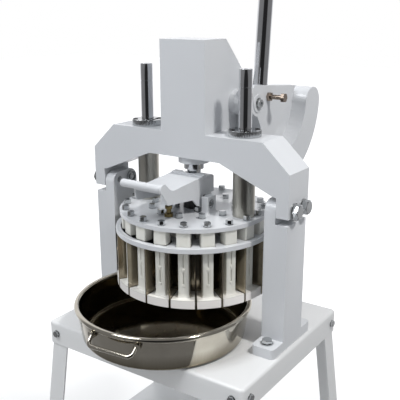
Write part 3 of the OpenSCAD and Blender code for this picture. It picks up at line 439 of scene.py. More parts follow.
finishes = {
    "white_paint": powder_coat("white_paint", clean=(0.60, 0.614, 0.637), worn=(0.572, 0.586, 0.609),
                               gloss_low=0.30, gloss_high=0.38, ripple=0.16),
    "sheet_paint": powder_coat("sheet_paint", clean=(0.70, 0.706, 0.71), worn=(0.665, 0.67, 0.675),
                               gloss_low=0.34, gloss_high=0.42, ripple=0.10),
}
print("coats:", sorted(finishes))

# %% [markdown]
# Bare metals differ in colour, in the direction of their lines and in how far a smudge dulls them. Each row
# below gives a bright and a shaded colour, the lines, the roughness when polished and when dull, and the
# depth of the lines.

# %% Bare metals
def bare_metal(name, bright, shaded, lines, polished, dull, groove):
    """A metal whose smudges shade and dull it, with tool lines in its bump."""
    material, tree, shader, vector, bump = finish_material(
        name, metallic=1.0, bump_strength=groove, bump_distance=0.2 * MM)
    marks = use_group(tree, metal_marks, vector, Lines=lines, Polished=polished, Dull=dull)
    colour = blend_colours(tree, marks.outputs["Smudge"], bright, shaded)
    wire(tree,
         (colour, shader.inputs["Base Color"]),
         (marks.outputs["Roughness"], shader.inputs["Roughness"]),
         (marks.outputs["Lines"], bump.inputs["Height"]))
    return material


ROUND_LINES = (4.0, 4.0, 900.0)
LONG_LINES = (700.0, 700.0, 6.0)
NO_LINES = (90.0, 90.0, 90.0)
METALS = {
    "chrome": ((0.72, 0.73, 0.75), (0.62, 0.63, 0.65), ROUND_LINES, 0.05, 0.14, 0.03),
    "brushed": ((0.60, 0.585, 0.53), (0.52, 0.505, 0.45), LONG_LINES, 0.28, 0.42, 0.16),
    "zinc": ((0.60, 0.615, 0.62), (0.36, 0.37, 0.38), NO_LINES, 0.06, 0.16, 0.08),
    "dark_steel": ((0.10, 0.10, 0.10), (0.05, 0.05, 0.05), NO_LINES, 0.3, 0.5, 0.15),
    "blade": ((0.44, 0.39, 0.31), (0.34, 0.30, 0.23), LONG_LINES, 0.14, 0.26, 0.05),
    # brass is given a dark brown, painted shade for the shadow the stop screw stands in
    "brass": ((0.25, 0.195, 0.09), (0.15, 0.115, 0.05), NO_LINES, 0.16, 0.34, 0.10),
    "bronze": ((0.36, 0.30, 0.25), (0.20, 0.16, 0.13), NO_LINES, 0.10, 0.27, 0.14),
}
for name, look in METALS.items():
    finishes[name] = bare_metal(name, *look)
print("metals:", sorted(finishes))

# %% [markdown]
# The pan's steel is polished in rings. The rings move its roughness and bump a little, and large soft
# blotches show where it has been wiped. The inside is painted darker, a painted dark reflection of the
# head and the room it faces: a point is inside when it lies below the rolled rim and nearer to the axis
# than the middle of the leaning wall at that height.

# %% Polished pan steel
PAN_BASE = 172.0
PAN_SPREAD = 10.5 / 77
PAN_WALL = 1.5
PAN_RIM_LOW = 66.2
material, tree, shader, vector, bump = finish_material(
    "polished", metallic=1.0, bump_strength=0.06, bump_distance=0.2 * MM)
rings = use_group(tree, spun_rings, vector, Axis_Point=(PAN_AXIS.x, PAN_AXIS.y, TABLE_Z))
wiped = remap(tree, rings.outputs["Blotch"], 0.35, 0.7, 0.0, 1.0)
wall_reach = calculation(tree, "Math", "MULTIPLY_ADD")
wall_reach.inputs[1].default_value = -PAN_SPREAD
inside_edge = (PAN_BASE - PAN_WALL) * MM
within = remap(tree, wall_reach.outputs["Value"], inside_edge - 0.3 * MM, inside_edge + 0.5 * MM, 1.0, 0.0)
below_rim = remap(tree, rings.outputs["Height"], (PAN_RIM_LOW - 0.5) * MM, (PAN_RIM_LOW + 1.5) * MM,
                  1.0, 0.0)
# painted dark reflection: below the rim and inside the wall the pan takes the darker colours
painted_dark_inside = calculation(tree, "Math", "MULTIPLY")
outside = blend_colours(tree, wiped, (0.60, 0.565, 0.49), (0.50, 0.465, 0.395))
inside = blend_colours(tree, wiped, (0.235, 0.205, 0.145), (0.165, 0.142, 0.098))
wire(tree,
     (rings.outputs["Height"], wall_reach.inputs[0]),
     (rings.outputs["Reach"], wall_reach.inputs[2]),
     (within, painted_dark_inside.inputs[0]),
     (below_rim, painted_dark_inside.inputs[1]),
     (blend_colours(tree, painted_dark_inside.outputs["Value"], outside, inside), shader.inputs["Base Color"]),
     (remap(tree, rings.outputs["Rings"], 0.3, 0.7, 0.06, 0.13), shader.inputs["Roughness"]),
     (rings.outputs["Rings"], bump.inputs["Height"]))
finishes["polished"] = material
print("pan steel:", len(tree.nodes), "nodes")

# %% [markdown]
# The pushers are ivory plastic, slightly mottled by dough and washing, with a faint moulded grain. The shoes
# at their foot are painted paler than the posts, painted light for the light thrown up onto them from below:
# a mask on the height tells the two apart.

# %% Ivory plastic and rubber
SHOE_TOP = 111


def moulded(name, clean, stained, low, high, grain, scale, painted_bounce_light=None):
    """Plastic or rubber with soft stains, a range of roughness, a grain and perhaps painted light on the
    shoes.
    """
    material, tree, shader, vector, bump = finish_material(
        name, metallic=0.0, bump_strength=grain, bump_distance=0.3 * MM)
    stain = remap(tree, noise(tree, vector, scale=26.0, detail=4.0, rough=0.6), 0.4, 0.72, 0.0, 1.0)
    fine = noise(tree, vector, scale)
    colour = blend_colours(tree, stain, clean, stained)
    # painted light: the shoes are coloured paler below their top, for light thrown up onto them
    if painted_bounce_light:
        split = tree.nodes.new("ShaderNodeSeparateXYZ")
        tree.links.new(vector, split.inputs[0])
        bare = TABLE_Z + (SHOE_TOP + 3) * MM
        full = TABLE_Z + (SHOE_TOP - 4) * MM
        shoe = remap(tree, split.outputs["Z"], bare, full, 0.0, 1.0)
        colour = blend_colours(tree, shoe, colour, painted_bounce_light)
    wire(tree,
         (colour, shader.inputs["Base Color"]),
         (remap(tree, fine, 0.3, 0.7, low, high), shader.inputs["Roughness"]),
         (fine, bump.inputs["Height"]))
    return material


finishes["ivory"] = moulded("ivory", clean=(0.72, 0.715, 0.67), stained=(0.66, 0.65, 0.59), low=0.34,
                            high=0.48, grain=0.10, scale=480.0, painted_bounce_light=(0.93, 0.90, 0.88))
finishes["rubber"] = moulded("rubber", clean=(0.020, 0.020, 0.021), stained=(0.035, 0.034, 0.033), low=0.55,
                             high=0.75, grain=0.25, scale=700.0)
print("finishes:", len(finishes))

# %% [markdown]
# The floor is white paper. Under the press it takes a soft shadow; further out it glows for the eye, so that
# it meets the white surround without a line.

# %% Studio paper
paper, tree, shader, vector, bump = finish_material(
    "studio_paper", metallic=0.0, bump_strength=0.02, bump_distance=0.3 * MM)
shader.inputs["Base Color"].default_value = (0.60, 0.60, 0.60, 1)
shader.inputs["Emission Color"].default_value = (1, 1, 1, 1)
paper_light = tree.nodes.new("ShaderNodeLightPath")
away = calculation(tree, "VectorMath", "LENGTH")
glow = calculation(tree, "Math", "MULTIPLY")
wire(tree,
     (vector, away.inputs[0]),
     (remap(tree, away.outputs["Value"], 0.4, 1.8, 0.25, 0.85), glow.inputs[0]),
     (paper_light.outputs["Is Camera Ray"], glow.inputs[1]),
     (glow.outputs["Value"], shader.inputs["Emission Strength"]),
     (remap(tree, noise(tree, vector, scale=40.0), 0.3, 0.7, 0.75, 0.85), shader.inputs["Roughness"]))
floor.data.materials.append(paper)
print("floor finish:", paper.name)

# %% [markdown]
# Every CAD node gets the finish of its slot first, so that a solid which no piece stands for is dressed too.

# %% Dress the CAD nodes
slots = {part["node"]: part["material_slot"] for part in frame["record"]["subparts"]}
for name, node in nodes.items():
    node.data.materials.clear()
    node.data.materials.append(finishes[slots[name]])
    node.data.polygons.foreach_set("material_index", [0] * len(node.data.polygons))

body_of = {name: body for body, names in frame["record"]["behaviour"]["bodies"].items() for name in names}
print("bodies:", sorted(set(body_of.values())))

# %% [markdown]
# A finished piece is a mesh that rides on a body, stands for its CAD nodes and takes their finish. Edges
# sharper than the given angle stay crisp, all others are shaded smooth. A Bevel modifier can round the crisp
# edges, as paint, casting or moulding leaves them.

# %% Piece helpers
def make_piece(name, bm, stands_for, crisp=32, like=None):
    """Turns a bmesh into a piece that replaces the named CAD nodes, or only goes with the node it is like."""
    mesh = bpy.data.meshes.new(name)
    bm.to_mesh(mesh)
    bm.free()
    mesh.shade_smooth()
    mesh.set_sharp_from_angle(angle=math.radians(crisp))
    piece = bpy.data.objects.new(name, mesh)
    bpy.context.scene.collection.objects.link(piece)
    model = like or stands_for[0]
    mesh.materials.append(finishes[slots[model]])
    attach(piece, body_of[model])
    if stands_for:
        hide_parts(*stands_for)
    return piece


def add_rounding(piece, radius, segments=3, angle=32):
    """Rounds all edges that are sharper than the angle."""
    rounding = piece.modifiers.new("rounding", "BEVEL")
    rounding.width = radius * MM
    rounding.segments = segments
    rounding.limit_method = "ANGLE"
    rounding.angle_limit = math.radians(angle)
    rounding.miter_outer = "MITER_ARC"
    rounding.harden_normals = True


def copy_of(node):
    """A merged copy of a CAD node's mesh, ready to be shaped."""
    bm = bmesh.new()
    bm.from_mesh(nodes[node].data)
    bmesh.ops.remove_doubles(bm, verts=bm.verts, dist=0.02 * MM)
    bmesh.ops.dissolve_limit(bm, angle_limit=math.radians(0.5), verts=bm.verts, edges=bm.edges)
    return bm


# %% [markdown]
# No cast or painted edge is knife sharp. For a piece whose solid already has the right form, a merged copy
# with rounded edges is enough: the castings, the plates, the legs and the small turned parts.

# %% Softened castings and plates
SOFT_EDGES = {
    "arch_casting": 2.5, "left_column": 2.5, "right_column": 2.5, "lever_casting": 3.0,
    "press_plate": 1.2, "knife_plate": 1.2, "leg_front_left": 1.4, "leg_front_right": 1.4,
    "leg_rear_left": 1.4, "leg_rear_right": 1.4, "rear_cover": 0.8, "ram_bush": 1.0, "floor_pads": 2.0,
    "latch_bar": 5.0, "handle_brackets": 1.5, "stop_screw": 0.6, "clamp_bolt": 0.8, "hub_screw": 0.7,
    "latch_pins": 0.8, "pinion_gear": 0.3, "collar_screws": 0.5, "ram": 0.4, "knife_hub": 1.0,
    "pinion_shaft": 1.0, "left_shaft_bush": 0.5, "right_shaft_bush": 0.5, "knife_grid": 0.35,
}
for node, radius in SOFT_EDGES.items():
    add_rounding(make_piece("soft_" + node, copy_of(node), [node]), radius)
print("softened pieces:", len(SOFT_EDGES))

# %% [markdown]
# The table's skirt is folded from one sheet, so its top edge is a bend, far rounder than a painted corner.
# The shelf is folded too, and the crosshead's top is rounded. Only the edges round the top get this wide
# bevel, because the Bevel operator takes just the edges it is given.

# %% Folded sheets and the crosshead
def outer_edges(bm, node, margin):
    """The edges round the top of a node's box, up to a margin in millimetres from its sides."""
    low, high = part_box(node)
    centre = (low + high) / 2
    half = (high - low) / 2

    def on_rim(point):
        inset = min(half.x - abs(point.x - centre.x), half.y - abs(point.y - centre.y))
        return inset < margin * MM and abs(point.z - high.z) < 0.05 * MM

    return [edge for edge in bm.edges
            if edge.calc_face_angle(0.0) > 0.8 and all(on_rim(vert.co) for vert in edge.verts)]


def round_edges(bm, edges, radius, segments=4):
    """Bevels the given edges to a radius in millimetres."""
    bmesh.ops.bevel(bm, geom=edges, offset=radius * MM, offset_type="OFFSET", affect="EDGES",
                    segments=segments, profile=0.5, material=-1, clamp_overlap=True)


for node, name, margin, fold in (
        ("table_top", "folded_table_top", 10.5, 7.0),
        ("lower_shelf", "folded_lower_shelf", 0.5, 3.0),
        ("crosshead", "rounded_crosshead", 0.5, 4.5)):
    bm = copy_of(node)
    rim = outer_edges(bm, node, margin)
    round_edges(bm, rim, fold, segments=5)
    add_rounding(make_piece(name, bm, [node]), radius=0.6, segments=2)
    print(node, "rounded edges:", len(rim))

# %% [markdown]
# Rods, sleeves, the pipe and the pan are bodies of revolution. Spin turns one drawn profile round the axis
# and gives an even, smooth skin, where the solid's own mesh has only a few flats. After the spin the points
# on the axis are merged and the normals are made to face outwards.

# %% Turning helper
def fresh(bm, old):
    """The vertices made since the set of old ones was taken."""
    return [vert for vert in bm.verts if vert not in old]


def turned(bm, profile, steps, closed=False):
    """Spins a profile of (radius, height) points in millimetres round the Z axis; gives the new vertices."""
    old = set(bm.verts)
    points = [bm.verts.new((radius * MM, 0.0, height * MM)) for radius, height in profile]
    pairs = list(zip(points, points[1:]))
    if closed:
        pairs.append((points[-1], points[0]))
    edges = [bm.edges.new(pair) for pair in pairs]
    bmesh.ops.spin(bm, geom=points + edges, cent=(0, 0, 0), axis=(0, 0, 1), angle=2 * math.pi,
                   steps=steps, use_merge=True)
    made = fresh(bm, old)
    bmesh.ops.remove_doubles(bm, verts=made, dist=0.001 * MM)
    made = fresh(bm, old)
    bmesh.ops.recalc_face_normals(bm, faces=list({face for vert in made for face in vert.link_faces}))
    return made


def arc(centre, radius, start, end, steps):
    """Profile points along an arc between two angles in degrees."""
    angles = [math.radians(start + (end - start) * step / steps) for step in range(steps + 1)]
    return [(centre[0] + radius * math.cos(a), centre[1] + radius * math.sin(a)) for a in angles]


# %% [markdown]
# The guide rods are ground and chromed. Each has a chamfered top with the lathe's centre hole in it, and a
# thin groove below the top where a retaining ring can sit. The sleeves on the press plate are plain tubes.

# %% Guide rods and sleeves
ROD_R = 13.5
GROOVE_R = ROD_R - 0.6
GROOVE_DOWN = 36
HOLE_R = 3.4
HOLE_DEPTH = 2.4
SLEEVE_R = 22.75
SLEEVE_BORE = 15.0
for side in ("left", "right"):
    rod = side + "_guide_rod"
    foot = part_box(rod)[0].z
    top = (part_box(rod)[1].z - foot) / MM
    ring = top - GROOVE_DOWN
    bm = bmesh.new()
    turned(bm, [(0, 0), (ROD_R, 0), (ROD_R, ring - 1.0), (GROOVE_R, ring - 0.6), (GROOVE_R, ring + 0.6),
                (ROD_R, ring + 1.0), (ROD_R, top - 1.6), (ROD_R - 0.5, top - 0.5), (ROD_R - 1.6, top),
                (HOLE_R, top), (0, top - HOLE_DEPTH)], steps=96)
    bmesh.ops.translate(bm, vec=(middle(rod).x, middle(rod).y, foot), verts=bm.verts)
    make_piece("chromed_" + rod, bm, [rod], crisp=30)

    sleeve = side + "_rod_sleeve"
    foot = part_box(sleeve)[0].z
    top = (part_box(sleeve)[1].z - foot) / MM
    bm = bmesh.new()
    turned(bm, [(SLEEVE_BORE, 0), (SLEEVE_R - 0.8, 0), (SLEEVE_R, 0.8), (SLEEVE_R, top - 1.2),
                (SLEEVE_R - 1.2, top), (SLEEVE_BORE + 0.8, top), (SLEEVE_BORE, top - 0.8)],
           steps=96, closed=True)
    bmesh.ops.translate(bm, vec=(middle(sleeve).x, middle(sleeve).y, foot), verts=bm.verts)
    make_piece("turned_" + sleeve, bm, [sleeve], crisp=30)
print("rods and sleeves turned")

# %% [markdown]
# The flanges of the guide collars are ribbed all round, which breaks up what their bare metal mirrors: every
# second column of the solid's rim is drawn in a little.

# %% Ribbed collars
RIB_DEPTH = 0.8 * MM
for side in ("left", "right"):
    collar = side + "_guide_collar"
    bm = copy_of(collar)
    axis = middle(collar)
    reach = (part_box(collar)[1].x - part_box(collar)[0].x) / 2
    columns = {}
    for vert in bm.verts:
        arm = (vert.co - axis).xy
        if arm.length > reach - 0.1 * MM:
            columns.setdefault(round(math.atan2(arm.y, arm.x), 2), []).append(vert)
    for angle in sorted(columns)[::2]:
        for vert in columns[angle]:
            vert.co -= RIB_DEPTH * (vert.co - axis).xy.normalized().to_3d()
    piece = make_piece("ribbed_" + collar, bm, [collar], crisp=16)
    add_rounding(piece, radius=0.5, segments=2, angle=40)
    print(collar, "ribs:", len(columns) // 2)

# %% [markdown]
# The pan is spun from one disc: a flat base, a bend, a wall that leans out, and a rim rolled over a bead. One
# profile goes up the inside, round the bead and down the outside, so the wall has its real thickness. The
# bend's arc stops just short of upright, and the bead's arc stays open where the wall comes in.

# %% Pan
PAN_FOOT = at(-10, -100, 0.2)
BEND_R = 12.0
BEND_AT = (PAN_BASE - BEND_R, BEND_R)
BEAD_AT = (180.0, 71.5)
BEAD_R = 5.5
FLOOR_RING = 80
profile = [(0, PAN_WALL), (FLOOR_RING, PAN_WALL)]
profile += arc(BEND_AT, BEND_R - PAN_WALL, start=-90, end=-4, steps=9)
profile += arc(BEAD_AT, BEAD_R, start=262, end=-82, steps=24)
profile += arc(BEND_AT, BEND_R, start=-4, end=-90, steps=9)
profile += [(FLOOR_RING, 0), (0, 0)]
bm = bmesh.new()
turned(bm, profile, steps=160)
bmesh.ops.translate(bm, vec=PAN_FOOT, verts=bm.verts)
print("pan faces:", len(bm.faces))
make_piece("spun_pan", bm, ["pan"], crisp=50)

# %% [markdown]
# Each pan handle is one wire with two bends. A circle is pulled along the straight parts by extruding its
# edge, and carried round the bends by Spin, as a bending machine does it.

# %% Pan handles
def pull(bm, ring, step):
    """Extrudes an open ring of edges along a step and gives the new ring."""
    got = bmesh.ops.extrude_edge_only(bm, edges=ring)["geom"]
    bmesh.ops.translate(bm, vec=step, verts=[part for part in got if isinstance(part, bmesh.types.BMVert)])
    return [part for part in got if isinstance(part, bmesh.types.BMEdge) and part.is_boundary]


def bend(bm, ring, centre, angle):
    """Carries an open ring of edges round a bend about Z and gives the new ring."""
    corners = list({vert for edge in ring for vert in edge.verts})
    got = bmesh.ops.spin(bm, geom=corners + ring, cent=centre, axis=(0, 0, 1), angle=angle, steps=8)
    return [part for part in got["geom_last"] if isinstance(part, bmesh.types.BMEdge)]


WIRE_R = 4 * MM
HANDLE_HALF = 51 * MM
HANDLE_LEG = 24 * MM
HANDLE_BEND = 12 * MM
HANDLE_ROOT = 4 * MM
HANDLE_START = 177.81 * MM
HANDLE_Z = 60 * MM
HANDLE_DIP = math.radians(37)
HANDLE_SIDES = (-84, 96)
bm = bmesh.new()
for azimuth in HANDLE_SIDES:
    old = set(bm.verts)
    begin = Matrix.Translation((-HANDLE_ROOT, HANDLE_HALF, 0)) @ Matrix.Rotation(math.pi / 2, 4, "Y")
    start = bmesh.ops.create_circle(bm, cap_ends=False, segments=20, radius=WIRE_R, matrix=begin)["verts"]
    ring = list({edge for vert in start for edge in vert.link_edges})
    ring = pull(bm, ring, (HANDLE_ROOT + HANDLE_LEG - HANDLE_BEND, 0, 0))
    inner = HANDLE_LEG - HANDLE_BEND
    reach = HANDLE_HALF - HANDLE_BEND
    ring = bend(bm, ring, (inner, reach, 0), -math.pi / 2)
    ring = pull(bm, ring, (0, -2 * reach, 0))
    ring = bend(bm, ring, (inner, -reach, 0), -math.pi / 2)
    pull(bm, ring, (-HANDLE_ROOT - inner, 0, 0))
    place = (Matrix.Translation(PAN_FOOT) @ Matrix.Rotation(math.radians(azimuth), 4, "Z")
             @ Matrix.Translation((HANDLE_START, 0, HANDLE_Z)) @ Matrix.Rotation(HANDLE_DIP, 4, "Y"))
    bmesh.ops.transform(bm, matrix=place, verts=fresh(bm, old))
bmesh.ops.holes_fill(bm, edges=[edge for edge in bm.edges if edge.is_boundary], sides=0)
bmesh.ops.recalc_face_normals(bm, faces=bm.faces)
make_piece("wire_pan_handles", bm, ["pan_handles"], crisp=50)
print("pan handles:", len(HANDLE_SIDES))

# %% [markdown]
# The lever's pipe and its rubber grip lie in a frame that starts on the pinion's shaft and leans back with
# the lever. The grip is a moulded sleeve with ring ridges, closed at its end.

# %% Lever pipe and grip
SHAFT_AT = at(0, 72, 474)
LEVER_LEAN = math.radians(-5)
PIPE_SIDE = 89 * MM
PIPE_BACK = 41 * MM
LEVER = Matrix.Translation(SHAFT_AT) @ Matrix.Rotation(LEVER_LEAN, 4, "X")
PIPE = LEVER @ Matrix.Translation((PIPE_SIDE, PIPE_BACK, 0))
PIPE_R = 15.5
PIPE_BORE = 13.0
PIPE_EDGE = 0.6
PIPE_FOOT = -24
PIPE_TOP = 556
GRIP_FOOT = 426
GRIP_SEAT = PIPE_R + 0.05
GRIP_R = 19.0
GRIP_STOP = GRIP_FOOT + 130
GRIP_END = GRIP_FOOT + 135
RIDGES = 14
RIDGE_PITCH = 8
bm = bmesh.new()
turned(bm, [(PIPE_BORE, PIPE_FOOT), (PIPE_R, PIPE_FOOT), (PIPE_R, PIPE_TOP - PIPE_EDGE),
            (PIPE_R - PIPE_EDGE, PIPE_TOP), (PIPE_BORE + PIPE_EDGE, PIPE_TOP),
            (PIPE_BORE, PIPE_TOP - PIPE_EDGE)], steps=72, closed=True)
bmesh.ops.transform(bm, matrix=PIPE, verts=bm.verts)
make_piece("turned_lever_pipe", bm, ["lever_pipe"], crisp=30)

ridges = []
for count in range(RIDGES):
    foot = GRIP_FOOT + 9 + RIDGE_PITCH * count
    ridges += [(GRIP_R, foot), (GRIP_R - 0.5, foot + 0.6), (GRIP_R - 1.4, foot + 1.0),
               (GRIP_R - 1.4, foot + 2.6), (GRIP_R - 0.5, foot + 3.0), (GRIP_R, foot + 3.6)]
bm = bmesh.new()
turned(bm, [(0, GRIP_STOP), (GRIP_SEAT, GRIP_STOP), (GRIP_SEAT, GRIP_FOOT), (GRIP_R - 1.5, GRIP_FOOT),
            (GRIP_R, GRIP_FOOT + 1.5), *ridges, (GRIP_R, GRIP_STOP), (GRIP_R - 1.2, GRIP_END - 1.6),
            (GRIP_R - 4, GRIP_END), (0, GRIP_END)], steps=64)
bmesh.ops.transform(bm, matrix=PIPE, verts=bm.verts)
make_piece("ridged_lever_grip", bm, ["lever_grip"], crisp=40)
print("lever pipe and grip turned")

# %% [markdown]
# Bolt heads tell the eye how big a machine is. A real head is a hexagon whose corners are cut by a cone,
# which leaves a round crown and curved facets. A circle is extruded twice, and each time its points are
# pulled out to the hexagon. Shank and washer are turned.

# %% Bolt helper
CROWN_SHARE = 0.95
CONE_SLOPE = 0.58


def hex_head(bm, across, foot, height):
    """A hexagon head with a turned crown, standing on Z from foot."""
    flat = across / 2 * MM
    crown = CROWN_SHARE * flat
    top = bmesh.ops.create_circle(bm, cap_ends=True, segments=24, radius=crown)["verts"]
    bmesh.ops.translate(bm, vec=(0, 0, (foot + height) * MM), verts=top)
    ring = list({edge for vert in top for edge in vert.link_edges})
    for last in (False, True):
        ring = pull(bm, ring, (0, 0, 0))
        for vert in {vert for edge in ring for vert in edge.verts}:
            angle = math.atan2(vert.co.y, vert.co.x)
            out = flat / math.cos(angle % (math.pi / 3) - math.pi / 6)
            vert.co.x = out * math.cos(angle)
            vert.co.y = out * math.sin(angle)
            vert.co.z = foot * MM if last else (foot + height) * MM - (out - crown) * CONE_SLOPE


def hex_bolt(bm, place, shank_d, shank, across, head, washer_d, washer_t):
    """A bolt whose place has Z pointing out of the bolted face."""
    old = set(bm.verts)
    shank_r = shank_d / 2
    washer_r = washer_d / 2
    turned(bm, [(0, -shank), (shank_r - 1, -shank), (shank_r, 1 - shank), (shank_r, 0), (washer_r, 0),
                (washer_r, washer_t - 0.3), (washer_r - 0.4, washer_t), (0, washer_t)], steps=24)
    hex_head(bm, across, washer_t, head)
    made = fresh(bm, old)
    bmesh.ops.recalc_face_normals(bm, faces=list({face for vert in made for face in vert.link_faces}))
    bmesh.ops.transform(bm, matrix=place, verts=made)


def facing(point, way):
    """A place at a point whose Z axis points along a direction."""
    return Matrix.Translation(point) @ Vector(way).to_track_quat("Z", "Y").to_matrix().to_4x4()


def bolt_piece(node, places, **sizes):
    """One piece with the same bolt at many places."""
    bm = bmesh.new()
    for place in places:
        hex_bolt(bm, place, **sizes)
    print(node, "bolts:", len(places))
    make_piece("hex_" + node, bm, [node], crisp=30)


# %% [markdown]
# The stand's bolts point out of the folded edges, the columns' bolts stand on their foot plates, and small
# screws hold the cover at the tower's back. One corner's place and four pairs of signs give a whole set.

# %% Bolts of the stand and columns
SIGNS = ((-1, -1), (-1, 1), (1, -1), (1, 1))
TABLE_HALF_X = 250
TABLE_HALF_Y = 205
LEG_BOLT_X = TABLE_HALF_X - 24
LEG_BOLT_Y = TABLE_HALF_Y - 24
LEG_BOLT_Z = -25.5
FOOT_BOLT = (217.5, 61, 21)
SHELF_HALF_X = 268.719
SHELF_HALF_Y = 223.719
SHELF_BOLT = (SHELF_HALF_X + 6, SHELF_HALF_Y - 20, -363)
COVER_X = 47.5
COVER_BACK = 154
COVER_ROWS = {-1: 416, 1: 477.5}
skirt = [facing(at(sx * LEG_BOLT_X, sy * TABLE_HALF_Y, LEG_BOLT_Z), (0, sy, 0)) for sx, sy in SIGNS]
skirt += [facing(at(sx * TABLE_HALF_X, sy * LEG_BOLT_Y, LEG_BOLT_Z), (sx, 0, 0)) for sx, sy in SIGNS]
feet = [facing(at(sx * FOOT_BOLT[0], sy * FOOT_BOLT[1], FOOT_BOLT[2]), (0, 0, 1)) for sx, sy in SIGNS]
shelf = [facing(at(sx * SHELF_BOLT[0], sy * SHELF_BOLT[1], SHELF_BOLT[2]), (sx, 0, 0)) for sx, sy in SIGNS]
cover = [facing(at(sx * COVER_X, COVER_BACK, COVER_ROWS[sy]), (0, 1, 0)) for sx, sy in SIGNS]
bolt_piece("leg_bolts", skirt, shank_d=8, shank=14, across=13, head=5, washer_d=16, washer_t=1.5)
bolt_piece("foot_bolts", feet, shank_d=12, shank=32, across=19, head=7.5, washer_d=26, washer_t=2.5)
bolt_piece("shelf_bolts", shelf, shank_d=6, shank=16, across=10, head=4, washer_d=12, washer_t=1.5)
bolt_piece("cover_screws", cover, shank_d=5, shank=14, across=8, head=3.5, washer_d=10, washer_t=1)

# %% [markdown]
# The arch is bolted to the columns' ears from outside. The rear bolts go right through and end in a round cup
# nut inside; the front ones stop short of the ear's inner face.

# %% Arch bolts
ARCH_BOLT = (244.5, 19, 290)
CLAMPED = 52
CUP_NUT = ((0, 3), (6, 3), (6.5, 2.4), (6.5, 0.8), (11.6, 0.8), (11.6, 4.6), (12, 5), (13.4, 5), (14, 4.4),
           (14, 0), (0, 0))
bm = bmesh.new()
for sx, sy in SIGNS:
    place = facing(at(sx * ARCH_BOLT[0], sy * ARCH_BOLT[1], ARCH_BOLT[2]), (sx, 0, 0))
    hex_bolt(bm, place, shank_d=14, shank=CLAMPED - 6 if sy < 0 else CLAMPED + 5, across=26, head=12,
             washer_d=33, washer_t=2.5)
    if sy > 0:
        nut = turned(bm, [(radius, -CLAMPED - depth) for radius, depth in CUP_NUT], steps=32)
        bmesh.ops.transform(bm, matrix=place, verts=nut)
make_piece("hex_arch_bolts", bm, ["arch_bolts"], crisp=30)
print("arch bolts:", len(SIGNS))

# %% [markdown]
# The press plate carries one bolt for each pusher, in three rings. One helper gives the places of a ring,
# because the posts further down stand in the same rings.

# %% Pusher bolts
OUTER_RING = (20, 9)
MIDDLE_RING = (12, 15)
INNER_RING = (4, 45)
OUTER_BOLT_REACH = 146
MIDDLE_REACH = 90
INNER_REACH = 39
PRESS_TOP = 255


def ring_places(ring, radius, height):
    """Places on a circle round the head's axis, X pointing outwards; a ring is a count and a first angle."""
    count, first = ring
    axis = Matrix.Translation(at(0, 0, height))
    turns = [Matrix.Rotation(math.radians(first + 360 * step / count), 4, "Z") for step in range(count)]
    return [axis @ turn @ Matrix.Translation((radius * MM, 0, 0)) for turn in turns]


heads = ring_places(OUTER_RING, OUTER_BOLT_REACH, PRESS_TOP)
heads += ring_places(MIDDLE_RING, MIDDLE_REACH, PRESS_TOP)
heads += ring_places(INNER_RING, INNER_REACH, PRESS_TOP)
bolt_piece("pusher_bolts", heads, shank_d=8, shank=18.5, across=13, head=8.5, washer_d=16, washer_t=1.5)

# %% [markdown]
# A pusher is moulded in one piece: a thick shoe that fills a cell between the knives, and a post with two
# slots and two round bosses on its outer face, from the moulding and its ejector pins. The shoes come from
# the solid, cut off just above their top; the posts are shaped here, with a flared foot and a wider head.

# %% Bars with a flared foot
PLATE_LOW = 207.5
POST_TOP = 246.5
SLOTS = ((139, 164), (174.5, 204))
SLOT_HALF = 1.1
SLOT_DEPTH = 2.5
BOSSES = (136, 169.5)
BOSS_FOOT_R = 3.2
BOSS_TOP_R = 2.6
BOSS_DEPTH = 1.8
FLARE = ((SHOE_TOP - 0.5, 2.8), (113, 1.3), (116, 0.35), (120, 0.0))
OUTER_POST_REACH = 144


def rounded_bar(bm, width, depth, foot, top, radius):
    """An upright bar with rounded corners, in millimetres; gives its vertices."""
    old = set(bm.verts)
    verts = bmesh.ops.create_cube(bm, size=1.0)["verts"]
    bmesh.ops.scale(bm, vec=(width * MM, depth * MM, (top - foot) * MM), verts=verts)
    bmesh.ops.translate(bm, vec=(0, 0, (foot + top) / 2 * MM), verts=verts)
    upright = [edge for edge in {edge for vert in verts for edge in vert.link_edges}
               if abs(edge.verts[0].co.z - edge.verts[1].co.z) > MM]
    round_edges(bm, upright, radius, segments=3)
    return fresh(bm, old)


def cut_across(bm, verts, point, normal):
    """Cuts the faces round the given vertices along a plane and gives all vertices of that part."""
    old = set(bm.verts) - set(verts)
    parts = set(verts)
    for vert in verts:
        parts.update(vert.link_edges)
        parts.update(vert.link_faces)
    bmesh.ops.bisect_plane(bm, geom=list(parts), dist=1e-7, plane_co=point, plane_no=normal)
    return fresh(bm, old)


def flared(bm, bar, steps):
    """Spreads a bar's foot: at each height the sides move out by so many millimetres."""
    for height, _ in steps[1:]:
        bar = cut_across(bm, bar, (0, 0, height * MM), (0, 0, 1))
    for vert in bar:
        for height, spread in steps:
            if abs(vert.co.z - height * MM) < 0.01 * MM:
                vert.co.x += math.copysign(spread * MM, vert.co.x)
                vert.co.y += math.copysign(spread * MM, vert.co.y)
    return bar


# %% [markdown]
# A post is such a bar, cut across where its slots begin and end. The strips between the cuts are extruded
# inwards, which sinks the slots without a Boolean, and each boss is a short cone set into the face.

